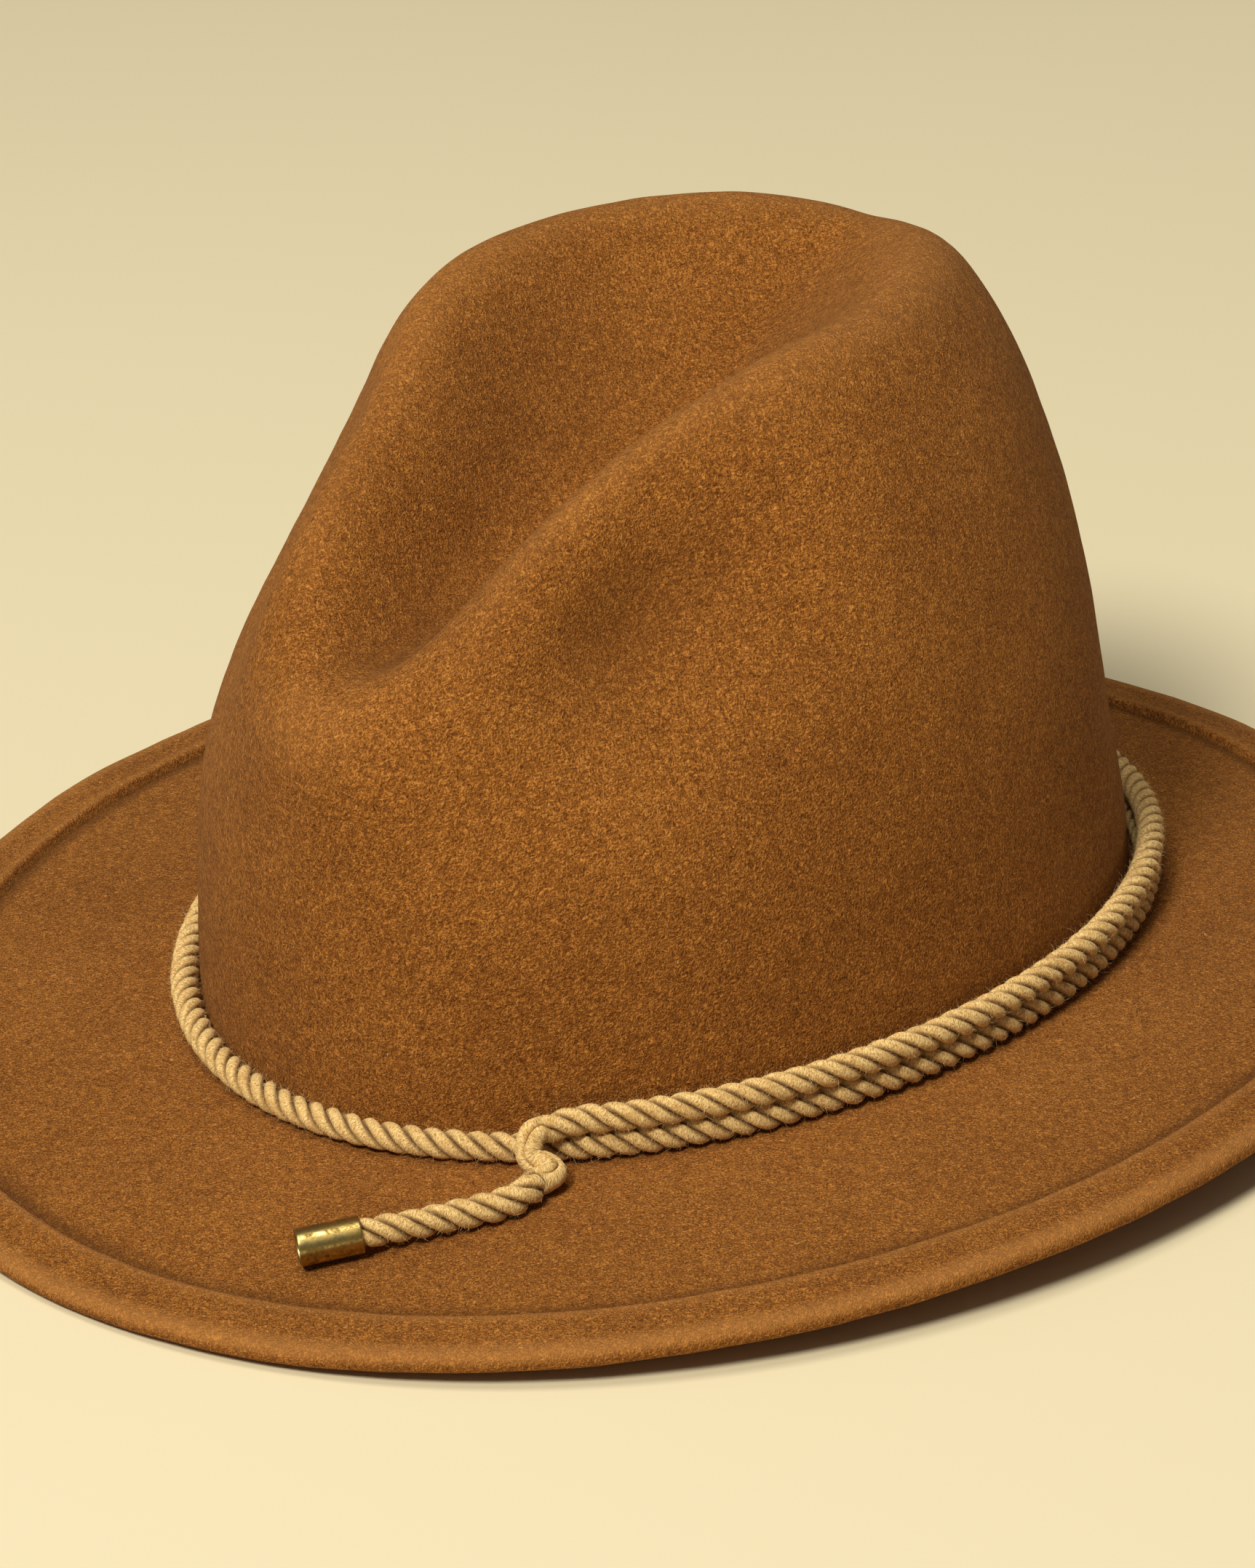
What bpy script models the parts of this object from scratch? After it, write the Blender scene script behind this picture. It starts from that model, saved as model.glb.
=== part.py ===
"""A felt hat with a creased teardrop crown, a wide brim with a folded-over edge,
a leather sweatband and a rope band that is tied on its left front.

Frame: metres, +Z up, the hat's front is -Y and its wearer's left is +X.
The origin is under the middle of the brim, on the surface that the brim rests on.
The shapes are drawn about the crown's own upright axis, a little behind the origin.
Angles around the hat are measured from the front, growing towards the wearer's left.
"""

import math

import bmesh
import bpy
import numpy as np
from mathutils import Vector

MM = 0.001

# --- driving dimensions (millimetres) -------------------------------------------
CROWN_HALF_LENGTH = 102.9      # outer felt at the brim break, along Y
CROWN_HALF_WIDTH = 88.1        # outer felt at the brim break, along X
FELT_THICKNESS = 2.3
CROWN_AXIS_Y = 5.6             # the crown's axis behind the brim's middle
BREAK_HEIGHT = 11.02           # mean height of the brim break over the table
BREAK_SADDLE = 2.0             # the break dips at front and back and rises at the sides

BRIM_HALF_LENGTH = 163.3
BRIM_HALF_WIDTH = 150.2
BRIM_EDGE_DROP = 4.85          # mean fall of the edge below the break
BRIM_EDGE_SADDLE = 3.9
BRIM_FALL_POWER = 1.6          # 1 is a straight slope, more is flatter by the crown
BREAK_FILLET = 3.0
WELT_WIDTH = 11.0              # the edge is folded over onto the top of the brim
WELT_STEP = 2.0

# The crown is a tall blocked dome that a trough is pressed into from above.
# Each row is a station along Y: its place, the dome's height over the break,
# the trough's floor, the trough's half width and its rise from floor to half width.
CROWN_STATIONS = (
    (-100.0, 105.0, 87.5, 30.5, -14.5),
    (-70.0, 117.5, 82.5, 21.0, 17.0),
    (-40.0, 126.5, 87.0, 32.5, 39.5),
    (-10.0, 141.0, 97.0, 36.5, 33.5),
    (20.0, 148.5, 107.0, 38.5, 27.5),
    (50.0, 153.0, 122.5, 28.5, 16.0),
    (80.0, 156.0, 140.0, 19.0, 5.0),
    (110.0, 141.0, 151.5, 22.0, 4.5),
)
CROWN_TAPER_X = 0.18
CROWN_TAPER_Y = 0.10
CROWN_SQUARENESS = (3.3, 3.65)     # superellipse power at the back and at the front
CROWN_TAPER_POWER = (0.9, 1.6)     # at the back and at the front
UPRIGHT_SHARE = 0.2                # of the height, where the wall hasn't fully started to taper
TROUGH_POWER = (1.65, 1.1)         # 1 is a straight-sided trough: at the front and at the back
TROUGH_ROUNDING = 3.0
TROUGH_TURN = 70.0                 # the power changes between this far before and behind
RIDGE_BLEND = 17.0
PINCH_Y = -47.5
PINCH_HEIGHT = 94.0
PINCH_DEPTH = 15.5
PINCH_LENGTH = 32.0
PINCH_WIDTH = 14.0
PINCH_LEAN = 0.9                   # radians that the pinch leans back from upright
PINCH_SIDES = (5.0, 49.0)          # it fades in between these distances from the middle
PROW_DEPTH = 8.5                   # the front stands forward where the pinches meet
PROW_HEIGHT = 82.0
PROW_SPREAD = (27.0, 24.5)         # along X and Z

CLEARANCE = 0.3                # gap between pieces that touch

SWEATBAND_HEIGHT = 38.0
SWEATBAND_THICKNESS = 1.0
SWEATBAND_RIM_GAP = 0.6        # leather's outer face from the felt at the upper edge
REED_RADIUS = 0.8
REED_HEIGHT = 1.6              # reed's centre over the break
TAPE_THICKNESS = 0.4
TAPE_LEG = 5.0
REED_INSET = 2 * CLEARANCE + TAPE_THICKNESS + REED_RADIUS  # reed's centre from the felt
SWEATBAND_SETBACK = 2 * REED_INSET  # leather's outer face from the felt at the lower edge
THREAD_RADIUS = 0.3
THREAD_HEIGHT = 3.5            # of the seam above the sweatband's lower edge
BOW_HEIGHT = 9.0
BOW_HALF_LENGTH = 11.0
BOW_LOOP_RADIUS = 2.6
BOW_THICKNESS = 0.8

ROPE_RADIUS = 2.6
ROPE_LOWER_OFFSET = 3.3        # rope's centre out from the felt
ROPE_LOWER_HEIGHT = 3.2        # rope's centre over the break
ROPE_UPPER_OFFSET = 3.9
ROPE_PITCH = 2 * ROPE_RADIUS + CLEARANCE
KNOT_ANGLE = 31.8
ROPE_START_ANGLE = KNOT_ANGLE + 2.0
ROPE_DROP_ANGLES = (196.0, 236.0)  # the first turn steps down to the lower level here
ROPE_END_ANGLE = 360.0 + 188.0
ROPE_SAG_OFFSET = 1.0          # the turn stands a little off the crown at the left back
ROPE_STEP = 13.0
ROUND_END_LENGTH = 1.5

FERRULE_LENGTH = 12.0
FERRULE_RADIUS = 3.6
FERRULE_WALL = 0.5
FERRULE_OVERLAP = 8.5          # length of the tail inside the ferrule

AROUND = 60                    # facets around the hat
CROWN_ROWS = 25
TOP_RISE = 0.985               # of the first row, close to the middle of the top
LOW_RISE = 0.10
LOWEST_RISES = (0.045, 0.015)  # extra rows above the fillet


# --- helpers ---------------------------------------------------------------------
def clear_scene():
    for obj in list(bpy.data.objects):
        bpy.data.objects.remove(obj, do_unlink=True)


def material(name, colour, roughness, metallic=0.0):
    made = bpy.data.materials.new(name)
    made.use_nodes = True
    shader = made.node_tree.nodes["Principled BSDF"]
    shader.inputs["Base Color"].default_value = (*colour, 1.0)
    shader.inputs["Roughness"].default_value = roughness
    shader.inputs["Metallic"].default_value = metallic
    made.diffuse_color = (*colour, 1.0)
    return made


def smoothstep(value, low, high):
    share = np.clip((value - low) / (high - low), 0.0, 1.0)
    return share * share * (3.0 - 2.0 * share)


def smooth_minimum(first, second, blend):
    share = np.clip(0.5 + 0.5 * (second - first) / blend, 0.0, 1.0)
    return second + (first - second) * share - blend * share * (1.0 - share)


def through_stations(value, places, heights):
    """A smooth curve through a few stations (cubic Hermite, end values held)."""
    slopes = np.gradient(heights, places)
    value = np.clip(value, places[0], places[-1])
    index = np.clip(np.searchsorted(places, value) - 1, 0, len(places) - 2)
    span = places[index + 1] - places[index]
    u = (value - places[index]) / span
    return (
        (2 * u**3 - 3 * u**2 + 1) * heights[index]
        + (u**3 - 2 * u**2 + u) * span * slopes[index]
        + (3 * u**2 - 2 * u**3) * heights[index + 1]
        + (u**3 - u**2) * span * slopes[index + 1]
    )


def placed(obj, parent):
    """Links an object and hangs it on an empty, where its own origin then is."""
    bpy.context.collection.objects.link(obj)
    obj.parent = parent
    return obj


def empty_at(name, place, parent=None):
    empty = bpy.data.objects.new(name, None)
    empty.location = np.asarray(place) * MM
    return placed(empty, parent)


def mesh_object(name, points, faces, look, parent, smooth_angle=40.0):
    """One object from points in millimetres, measured from its parent empty."""
    mesh = bpy.data.meshes.new(name)
    mesh.from_pydata([tuple(point) for point in np.asarray(points) * MM], [], faces)
    cleaner = bmesh.new()
    cleaner.from_mesh(mesh)
    bmesh.ops.recalc_face_normals(cleaner, faces=cleaner.faces)
    cleaner.to_mesh(mesh)
    cleaner.free()
    mesh.materials.append(look)
    mesh.shade_smooth()
    mesh.set_sharp_from_angle(angle=math.radians(smooth_angle))
    return placed(bpy.data.objects.new(name, mesh), parent)


def ring_faces(ring, following, wraps=True):
    """Quads between two rings of vertex indices."""
    count = len(ring)
    last = count if wraps else count - 1
    return [
        (ring[i], ring[(i + 1) % count], following[(i + 1) % count], following[i])
        for i in range(last)
    ]


def round_end(points, at_end=False):
    """An extra point just inside one end, where a narrowed tip reaches its full width."""
    if at_end:
        return round_end(points[::-1])[::-1]
    inside = points[0] + ROUND_END_LENGTH * (points[1] - points[0]) / np.linalg.norm(
        points[1] - points[0]
    )
    return np.array([points[0], inside, *points[1:]])


def tube_object(name, points, radius, look, parent, end_radius=(1.0, 1.0)):
    """A round cord along points in millimetres, with filled ends of a given share of its width."""
    curve = bpy.data.curves.new(name, "CURVE")
    curve.dimensions = "3D"
    curve.bevel_depth = radius * MM
    curve.bevel_resolution = 2
    curve.use_fill_caps = True
    spline = curve.splines.new("POLY")
    spline.points.add(len(points) - 1)
    for slot, point in zip(spline.points, points):
        slot.co = (*(np.asarray(point) * MM), 1.0)
    spline.points[0].radius, spline.points[-1].radius = end_radius
    spline.use_smooth = True
    curve.materials.append(look)
    return placed(bpy.data.objects.new(name, curve), parent)


def curve_through(points, count, samples=40):
    """Points spaced evenly along a smooth (Catmull-Rom) curve through a few points."""
    points = [np.asarray(point, float) for point in points]
    padded = [2 * points[0] - points[1], *points, 2 * points[-1] - points[-2]]
    fine = []
    for a, b, c, d in zip(padded, padded[1:], padded[2:], padded[3:]):
        for u in np.linspace(0.0, 1.0, samples, endpoint=False):
            fine.append(
                0.5 * (
                    2 * b + (c - a) * u + (2 * a - 5 * b + 4 * c - d) * u**2
                    + (3 * b - a - 3 * c + d) * u**3
                )
            )
    fine = np.array([*fine, points[-1]])
    run = np.concatenate([[0.0], np.cumsum(np.linalg.norm(np.diff(fine, axis=0), axis=1))])
    wanted = np.linspace(0.0, run[-1], count)
    return np.stack([np.interp(wanted, run, fine[:, axis]) for axis in range(3)], axis=1)


# --- the felt's outer face -------------------------------------------------------
def break_height(angle):
    return BREAK_HEIGHT - BREAK_SADDLE * np.cos(2 * angle)


def crown_face(angle, rise):
    """The crown's outer face: rise is 0 at the brim break and 1 at the top's middle."""
    places, dome, floor, half_width, depth = np.array(CROWN_STATIONS).T
    front_share = 0.5 + 0.5 * np.cos(angle)
    squareness = CROWN_SQUARENESS[0] + np.ptp(CROWN_SQUARENESS) * front_share
    taper_power = CROWN_TAPER_POWER[0] + np.ptp(CROWN_TAPER_POWER) * front_share
    lean = rise * math.pi / 2
    spread = np.cos(lean) ** (2 / squareness)
    height = np.sin(lean) ** (2 / squareness)
    taper = height**taper_power * smoothstep(height, 0.0, UPRIGHT_SHARE)
    x = CROWN_HALF_WIDTH * spread * (1 - CROWN_TAPER_X * taper) * np.sin(angle)
    y = -CROWN_HALF_LENGTH * spread * (1 - CROWN_TAPER_Y * taper) * np.cos(angle)
    z = through_stations(y, places, dome) * height
    power = TROUGH_POWER[0] - np.ptp(TROUGH_POWER) * smoothstep(y, -TROUGH_TURN, TROUGH_TURN)
    across = np.hypot(x, TROUGH_ROUNDING) / through_stations(y, places, half_width)
    trough = through_stations(y, places, floor) + through_stations(y, places, depth) * across**power
    pressed = smoothstep(height, 0.35, 0.7)
    z = z * (1 - pressed) + pressed * smooth_minimum(z, trough, RIDGE_BLEND)
    upward, backward = z - PINCH_HEIGHT, y - PINCH_Y
    along = (upward * math.cos(PINCH_LEAN) + backward * math.sin(PINCH_LEAN)) / PINCH_LENGTH
    aside = (backward * math.cos(PINCH_LEAN) - upward * math.sin(PINCH_LEAN)) / PINCH_WIDTH
    pinch = PINCH_DEPTH * np.exp(-(along**2) - aside**2) * smoothstep(np.abs(x), *PINCH_SIDES)
    x = x - np.sign(x) * pinch
    prow = np.exp(-((x / PROW_SPREAD[0]) ** 2) - ((z - PROW_HEIGHT) / PROW_SPREAD[1]) ** 2)
    y = y - PROW_DEPTH * prow * smoothstep(-y, 40.0, 80.0)
    z = z + BREAK_HEIGHT - BREAK_SADDLE * np.cos(2 * angle) * (1 - smoothstep(height, 0.0, 0.5))
    return np.stack([x, y, z], axis=-1)


def brim_face(angle, share):
    """The brim's upper face: share is 0 at the break and 1 at the edge."""
    break_z = break_height(angle)
    edge_z = BREAK_HEIGHT - BRIM_EDGE_DROP - BRIM_EDGE_SADDLE * np.cos(2 * angle)
    half_width = CROWN_HALF_WIDTH + (BRIM_HALF_WIDTH - CROWN_HALF_WIDTH) * share
    half_length = CROWN_HALF_LENGTH + (BRIM_HALF_LENGTH - CROWN_HALF_LENGTH) * share
    x = half_width * np.sin(angle)
    y = -CROWN_AXIS_Y * share - half_length * np.cos(angle)
    z = break_z + (edge_z - break_z) * share**BRIM_FALL_POWER
    return np.stack([x, y, z], axis=-1)


def brim_width(angle):
    edge = brim_face(angle, 1.0 + 0 * angle)
    base = brim_face(angle, 0.0 * angle)
    return np.linalg.norm((edge - base)[..., :2], axis=-1)


def fillet_face(angle, turn):
    """The rounded break: turn is 0 on the crown's wall and 1 on the brim."""
    wall = brim_face(angle, 0.0 * angle)
    out = brim_face(angle, BREAK_FILLET / brim_width(angle)) - wall
    bend = turn * math.pi / 2
    sideways = 1 - np.cos(bend)
    upward = BREAK_FILLET * (1 - np.sin(bend))
    return wall + out * np.asarray(sideways)[..., None] + np.stack(
        [0 * angle, 0 * angle, upward + 0 * angle], axis=-1
    )


def sheet_normals(sheet):
    """Outward normals of a grid whose rows go around the hat, from top to edge."""
    around = np.roll(sheet, -1, axis=1) - np.roll(sheet, 1, axis=1)
    down = np.gradient(sheet, axis=0)
    normals = np.cross(down, around)
    length = np.linalg.norm(normals, axis=2, keepdims=True)
    return normals / np.maximum(length, 1e-9)


def felt_sheet(angles):
    """Rows of the outer face from the top of the crown to the brim's edge."""
    rises = [*np.linspace(TOP_RISE, LOW_RISE, CROWN_ROWS), *LOWEST_RISES]
    rows = [crown_face(angles, rise + 0 * angles) for rise in rises]
    rows += [fillet_face(angles, turn) for turn in (0.0, 0.5, 1.0)]
    first = BREAK_FILLET / brim_width(angles)
    welt_start = 1 - WELT_WIDTH / brim_width(angles)
    brim_rows = [
        brim_face(angles, first + (welt_start - first) * share) for share in (0.25, 0.5, 0.75, 1.0)
    ]
    welt_rows = [
        brim_face(angles, welt_start + (1 - welt_start) * share) for share in (0.02, 0.35, 0.7, 1.0)
    ]
    return np.array(rows), np.array(brim_rows), np.array(welt_rows)


def make_felt_body(look, parent):
    angles = np.linspace(0.0, 2 * math.pi, AROUND, endpoint=False)
    crown_rows, brim_rows, welt_rows = felt_sheet(angles)
    sheet = np.concatenate([crown_rows, brim_rows, welt_rows])
    normals = sheet_normals(sheet)
    first_welt = len(crown_rows) + len(brim_rows)
    raised = sheet[first_welt:] + WELT_STEP * normals[first_welt:]
    under = sheet - FELT_THICKNESS * normals
    half = (WELT_STEP + FELT_THICKNESS) / 2
    middle = (raised[-1] + under[-1]) / 2
    outward = sheet[-1] - sheet[-2]
    outward /= np.linalg.norm(outward, axis=1, keepdims=True)
    edge_rows = [
        middle + half * (math.cos(bend) * normals[-1] + math.sin(bend) * outward)
        for bend in np.linspace(0.0, math.pi, 6)[1:-1]
    ]
    top_rows = [*sheet[:first_welt], *raised]
    rows = [*top_rows, *edge_rows, *under[::-1]]
    top = rows[0].mean(axis=0)
    bottom = rows[-1].mean(axis=0)
    points = np.concatenate([np.concatenate(rows), [top, bottom]])
    rings = [list(range(row * AROUND, (row + 1) * AROUND)) for row in range(len(rows))]
    faces = [face for a, b in zip(rings, rings[1:]) for face in ring_faces(a, b)]
    for ring, pole in ((rings[0], len(points) - 2), (rings[-1], len(points) - 1)):
        faces += [(ring[i], ring[(i + 1) % AROUND], pole) for i in range(AROUND)]
    return mesh_object("felt_body", points, faces, look, parent)


# --- the sweatband ---------------------------------------------------------------
def wall_frame(angle, height):
    """A point on the felt's inner wall at a height over the break, and its way out."""
    outward = np.array([
        math.sin(angle) / CROWN_HALF_WIDTH, -math.cos(angle) / CROWN_HALF_LENGTH, 0.0
    ])
    outward /= np.linalg.norm(outward)
    low, high = 0.0, 0.6
    for _ in range(30):
        middle = (low + high) / 2
        point = crown_face(np.float64(angle), np.float64(middle))
        low, high = (middle, high) if point[2] < BREAK_HEIGHT + height else (low, middle)
    wall = crown_face(np.float64(angle), np.float64((low + high) / 2))
    wall[2] = break_height(angle) + height
    return wall - FELT_THICKNESS * outward, outward


def band_section(angle, section):
    """Section points (inward from the felt's inner wall, up from the break) in space."""
    ring = []
    for inward, up in section:
        wall, outward = wall_frame(angle, max(up, 0.5))
        point = wall - inward * outward
        point[2] = break_height(angle) + up
        ring.append(point)
    return ring


def ring_solid(name, section, look, parent):
    """A closed band around the inside of the crown, from a closed section."""
    rings = [band_section(angle, section) for angle in
             np.linspace(0.0, 2 * math.pi, AROUND, endpoint=False)]
    size = len(section)
    points = np.concatenate(rings)
    indices = [list(range(i * size, (i + 1) * size)) for i in range(AROUND)]
    faces = []
    for i in range(AROUND):
        faces += ring_faces(indices[i], indices[(i + 1) % AROUND])
    return mesh_object(name, points, faces, look, parent)


def make_sweatband(look, parent):
    foot, rim = SWEATBAND_SETBACK, SWEATBAND_RIM_GAP
    thick = SWEATBAND_THICKNESS
    section = [
        (foot, -0.5), (foot + thick, -0.5),
        (foot + thick, 10.0), (rim + thick, SWEATBAND_HEIGHT),
        (rim, SWEATBAND_HEIGHT), (foot, 10.0),
    ]
    return ring_solid("sweatband", section, look, parent)


def make_reed_and_tape(reed_look, tape_look, parent):
    reed = [
        (REED_INSET + REED_RADIUS * math.cos(bend), REED_HEIGHT + REED_RADIUS * math.sin(bend))
        for bend in np.linspace(0.0, 2 * math.pi, 6, endpoint=False)
    ]
    ring_solid("sweatband_reed", reed, reed_look, parent)
    inner = REED_RADIUS + CLEARANCE
    outer = inner + TAPE_THICKNESS
    bends = np.linspace(0.0, -math.pi, 4)
    def arc(radius, turns):
        return [
            (REED_INSET + radius * math.cos(turn), REED_HEIGHT + radius * math.sin(turn))
            for turn in turns
        ]

    tape = [(REED_INSET + outer, REED_HEIGHT + TAPE_LEG), *arc(outer, bends)]
    tape += [(REED_INSET - outer, REED_HEIGHT + 1.6), (REED_INSET - inner, REED_HEIGHT + 1.6)]
    tape += [*arc(inner, bends[::-1]), (REED_INSET + inner, REED_HEIGHT + TAPE_LEG)]
    ring_solid("reed_tape", tape, tape_look, parent)


def make_thread(look, parent):
    inward = SWEATBAND_SETBACK + SWEATBAND_THICKNESS + CLEARANCE + THREAD_RADIUS
    section = [
        (inward + THREAD_RADIUS * math.cos(bend), THREAD_HEIGHT + THREAD_RADIUS * math.sin(bend))
        for bend in np.linspace(0.0, 2 * math.pi, 5, endpoint=False)
    ]
    ring_solid("sweatband_thread", section, look, parent)


def make_bow(look, parent):
    """A small flat bow over the sweatband's seam at the back: two loops and a waist."""
    wall, outward = wall_frame(math.pi, BOW_HEIGHT)
    inward = SWEATBAND_SETBACK + SWEATBAND_THICKNESS + CLEARANCE + BOW_THICKNESS
    centre = wall - inward * outward
    bend_radius = CROWN_HALF_WIDTH**2 / CROWN_HALF_LENGTH - inward - FELT_THICKNESS
    half = BOW_LOOP_RADIUS
    outline = []
    for side in (1, -1):
        for bend in np.linspace(-0.5 * math.pi, 0.5 * math.pi, 7):
            outline.append((
                side * (BOW_HALF_LENGTH - half + half * math.cos(bend)), side * half * math.sin(bend)
            ))
        outline.append((side * 2.2, side * 1.5))
        outline.append((-side * 2.2, side * 1.5))
    points = []
    for depth in (0.0, BOW_THICKNESS):
        for across, up in outline:
            sag = across * across / (2 * bend_radius)
            points.append((
                centre[0] + across, centre[1] + depth - sag, centre[2] + up
            ))
    count = len(outline)
    front, back = list(range(count)), list(range(count, 2 * count))
    faces = [tuple(front), tuple(back[::-1]), *ring_faces(front, back)]
    return mesh_object("sweatband_bow", points, faces, look, parent)


# --- the rope band ---------------------------------------------------------------
def band_point(angle, offset, height):
    """A point outside the crown: out from the felt at the break, and up from the break."""
    outward = np.array([
        math.sin(angle) / CROWN_HALF_WIDTH, -math.cos(angle) / CROWN_HALF_LENGTH, 0.0
    ])
    outward /= np.linalg.norm(outward)
    base = np.array([CROWN_HALF_WIDTH * math.sin(angle), -CROWN_HALF_LENGTH * math.cos(angle), 0.0])
    point = base + offset * outward
    point[2] = break_height(angle) + height
    return point


def rope_route():
    """The rope from the knot's top, once round and under the knot, and on to the back."""
    degrees = np.linspace(ROPE_START_ANGLE, ROPE_END_ANGLE, 400)
    route = []
    for degree in degrees:
        dropped = float(smoothstep(degree, *ROPE_DROP_ANGLES))
        offset = ROPE_UPPER_OFFSET + (ROPE_LOWER_OFFSET - ROPE_UPPER_OFFSET) * dropped
        height = ROPE_LOWER_HEIGHT + ROPE_PITCH * (1 - dropped)
        turn = degree % 360.0
        stand_off = math.exp(-(((turn - 155.0) / 28.0) ** 2))
        route.append(band_point(math.radians(degree), offset + ROPE_SAG_OFFSET * stand_off, height))
    return np.array(route)


def knot_frame():
    angle = math.radians(KNOT_ANGLE)
    centre = band_point(angle, 0.0, 0.0)
    ahead = band_point(angle + 0.01, 0.0, 0.0) - centre
    ahead[2] = 0.0
    ahead /= np.linalg.norm(ahead)
    outward = band_point(angle, 1.0, 0.0) - centre
    return centre, ahead, outward


def in_knot_frame(points):
    """Points given as (back along the band, out from the crown, up from the break)."""
    centre, ahead, outward = knot_frame()
    up = np.array([0.0, 0.0, 1.0])
    return [centre + a * ahead + o * outward + u * up for a, o, u in points]


KNOT_ROUTE = (
    (1.4, 6.2, 8.1), (-0.1, 7.8, 8.0), (-0.9, 9.5, 6.4), (-0.2, 11.2, 5.1),
    (1.8, 11.7, 4.1), (4.1, 12.2, 3.0), (3.6, 14.6, 2.8), (1.1, 15.4, 2.7),
)
TAIL_ROUTE = (
    (-0.1, 18.0, 2.5), (-1.6, 20.6, 2.3), (-4.1, 22.6, 2.1), (-8.5, 24.7, 1.8),
    (-14.6, 26.9, 1.5), (-20.6, 29.3, 1.3), (-26.8, 31.4, 1.2), (-37.6, 35.0, 0.5),
)


def make_rope(look, crown_axis):
    """The band and the knot, then the tail on an empty of its own where it bends.

    Returns that empty and the tail's points, measured from it.
    """
    route = rope_route()
    length = np.linalg.norm(np.diff(route, axis=0), axis=1).sum()
    band = curve_through(route[::4], int(length / ROPE_STEP) + 1, samples=4)
    tube_object("rope_band", band, ROPE_RADIUS, look, crown_axis)
    knot = curve_through(in_knot_frame(KNOT_ROUTE), 14)
    knot = round_end(round_end(knot), at_end=True)
    tube_object("knot", knot, ROPE_RADIUS, look, crown_axis, end_radius=(0.45, 0.45))
    tail = curve_through(in_knot_frame(TAIL_ROUTE), 9)
    tail_pivot = empty_at("tail_pivot", tail[0], crown_axis)
    tail = tail - tail[0]
    tube_object("tail", round_end(tail), ROPE_RADIUS, look, tail_pivot, end_radius=(0.45, 1.0))
    return tail_pivot, tail


def make_ferrule(look, tail, tail_pivot):
    """A thin open tube on the tail's end, turned about the tail's last stretch."""
    end = np.asarray(tail[-1])
    direction = Vector(tail[-1] - tail[-2]).normalized()
    inner = FERRULE_RADIUS - FERRULE_WALL
    profile = [
        (inner, 0.0), (FERRULE_RADIUS - 0.15, 0.0), (FERRULE_RADIUS, 0.2),
        (FERRULE_RADIUS, FERRULE_LENGTH - 0.2), (FERRULE_RADIUS - 0.15, FERRULE_LENGTH),
        (inner, FERRULE_LENGTH),
    ]
    start = Vector(end) - direction * FERRULE_OVERLAP
    turn = direction.to_track_quat("Z", "Y")
    sides = 16
    points, rings = [], []
    for i in range(sides):
        bend = 2 * math.pi * i / sides
        rings.append([])
        for radius, along in profile:
            local = Vector((radius * math.cos(bend), radius * math.sin(bend), along))
            rings[-1].append(len(points))
            points.append(start + turn @ local)
    faces = []
    for i in range(sides):
        faces += ring_faces(rings[i], rings[(i + 1) % sides])
    return mesh_object("ferrule", points, faces, look, tail_pivot)


def main():
    clear_scene()
    felt = material("wool_felt", (0.22, 0.105, 0.032), 0.95)
    leather = material("sweatband_leather", (0.20, 0.10, 0.045), 0.55)
    plastic = material("reed_plastic", (0.75, 0.72, 0.62), 0.4)
    cloth = material("tape_cloth", (0.06, 0.035, 0.02), 0.9)
    thread = material("thread", (0.12, 0.06, 0.025), 0.8)
    rope = material("jute_rope", (0.50, 0.34, 0.17), 0.9)
    brass = material("antique_brass", (0.30, 0.21, 0.07), 0.35, 1.0)
    crown_axis = empty_at("crown_axis", (0.0, CROWN_AXIS_Y, 0.0))
    make_felt_body(felt, crown_axis)
    make_sweatband(leather, crown_axis)
    make_reed_and_tape(plastic, cloth, crown_axis)
    make_thread(thread, crown_axis)
    make_bow(leather, crown_axis)
    tail_pivot, tail = make_rope(rope, crown_axis)
    make_ferrule(brass, tail, tail_pivot)


main()
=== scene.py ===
"""The looks of the felt hat with a rope band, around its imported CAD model.

Lengths in this script are millimetres, turned into metres where an object is made.
Shapes are drawn about the crown's upright axis. Angles around the hat are measured
from its front, growing towards the wearer's left.
"""
import math

import bpy
import numpy as np
from mathutils import Matrix, Vector


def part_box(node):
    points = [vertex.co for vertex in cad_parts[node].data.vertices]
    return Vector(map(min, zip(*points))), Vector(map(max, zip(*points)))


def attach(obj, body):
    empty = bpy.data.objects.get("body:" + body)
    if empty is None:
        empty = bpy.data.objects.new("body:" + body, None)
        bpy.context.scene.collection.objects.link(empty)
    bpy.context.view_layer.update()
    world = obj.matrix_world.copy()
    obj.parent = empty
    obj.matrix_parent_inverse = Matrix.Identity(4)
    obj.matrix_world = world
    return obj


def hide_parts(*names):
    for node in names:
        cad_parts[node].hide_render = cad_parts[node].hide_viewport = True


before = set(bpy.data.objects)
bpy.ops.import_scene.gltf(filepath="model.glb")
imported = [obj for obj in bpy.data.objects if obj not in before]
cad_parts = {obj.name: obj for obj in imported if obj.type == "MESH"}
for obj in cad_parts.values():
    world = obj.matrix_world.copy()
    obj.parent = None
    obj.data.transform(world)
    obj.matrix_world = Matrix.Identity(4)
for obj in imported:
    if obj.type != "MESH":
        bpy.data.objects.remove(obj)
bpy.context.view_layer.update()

MM = 0.001

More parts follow.
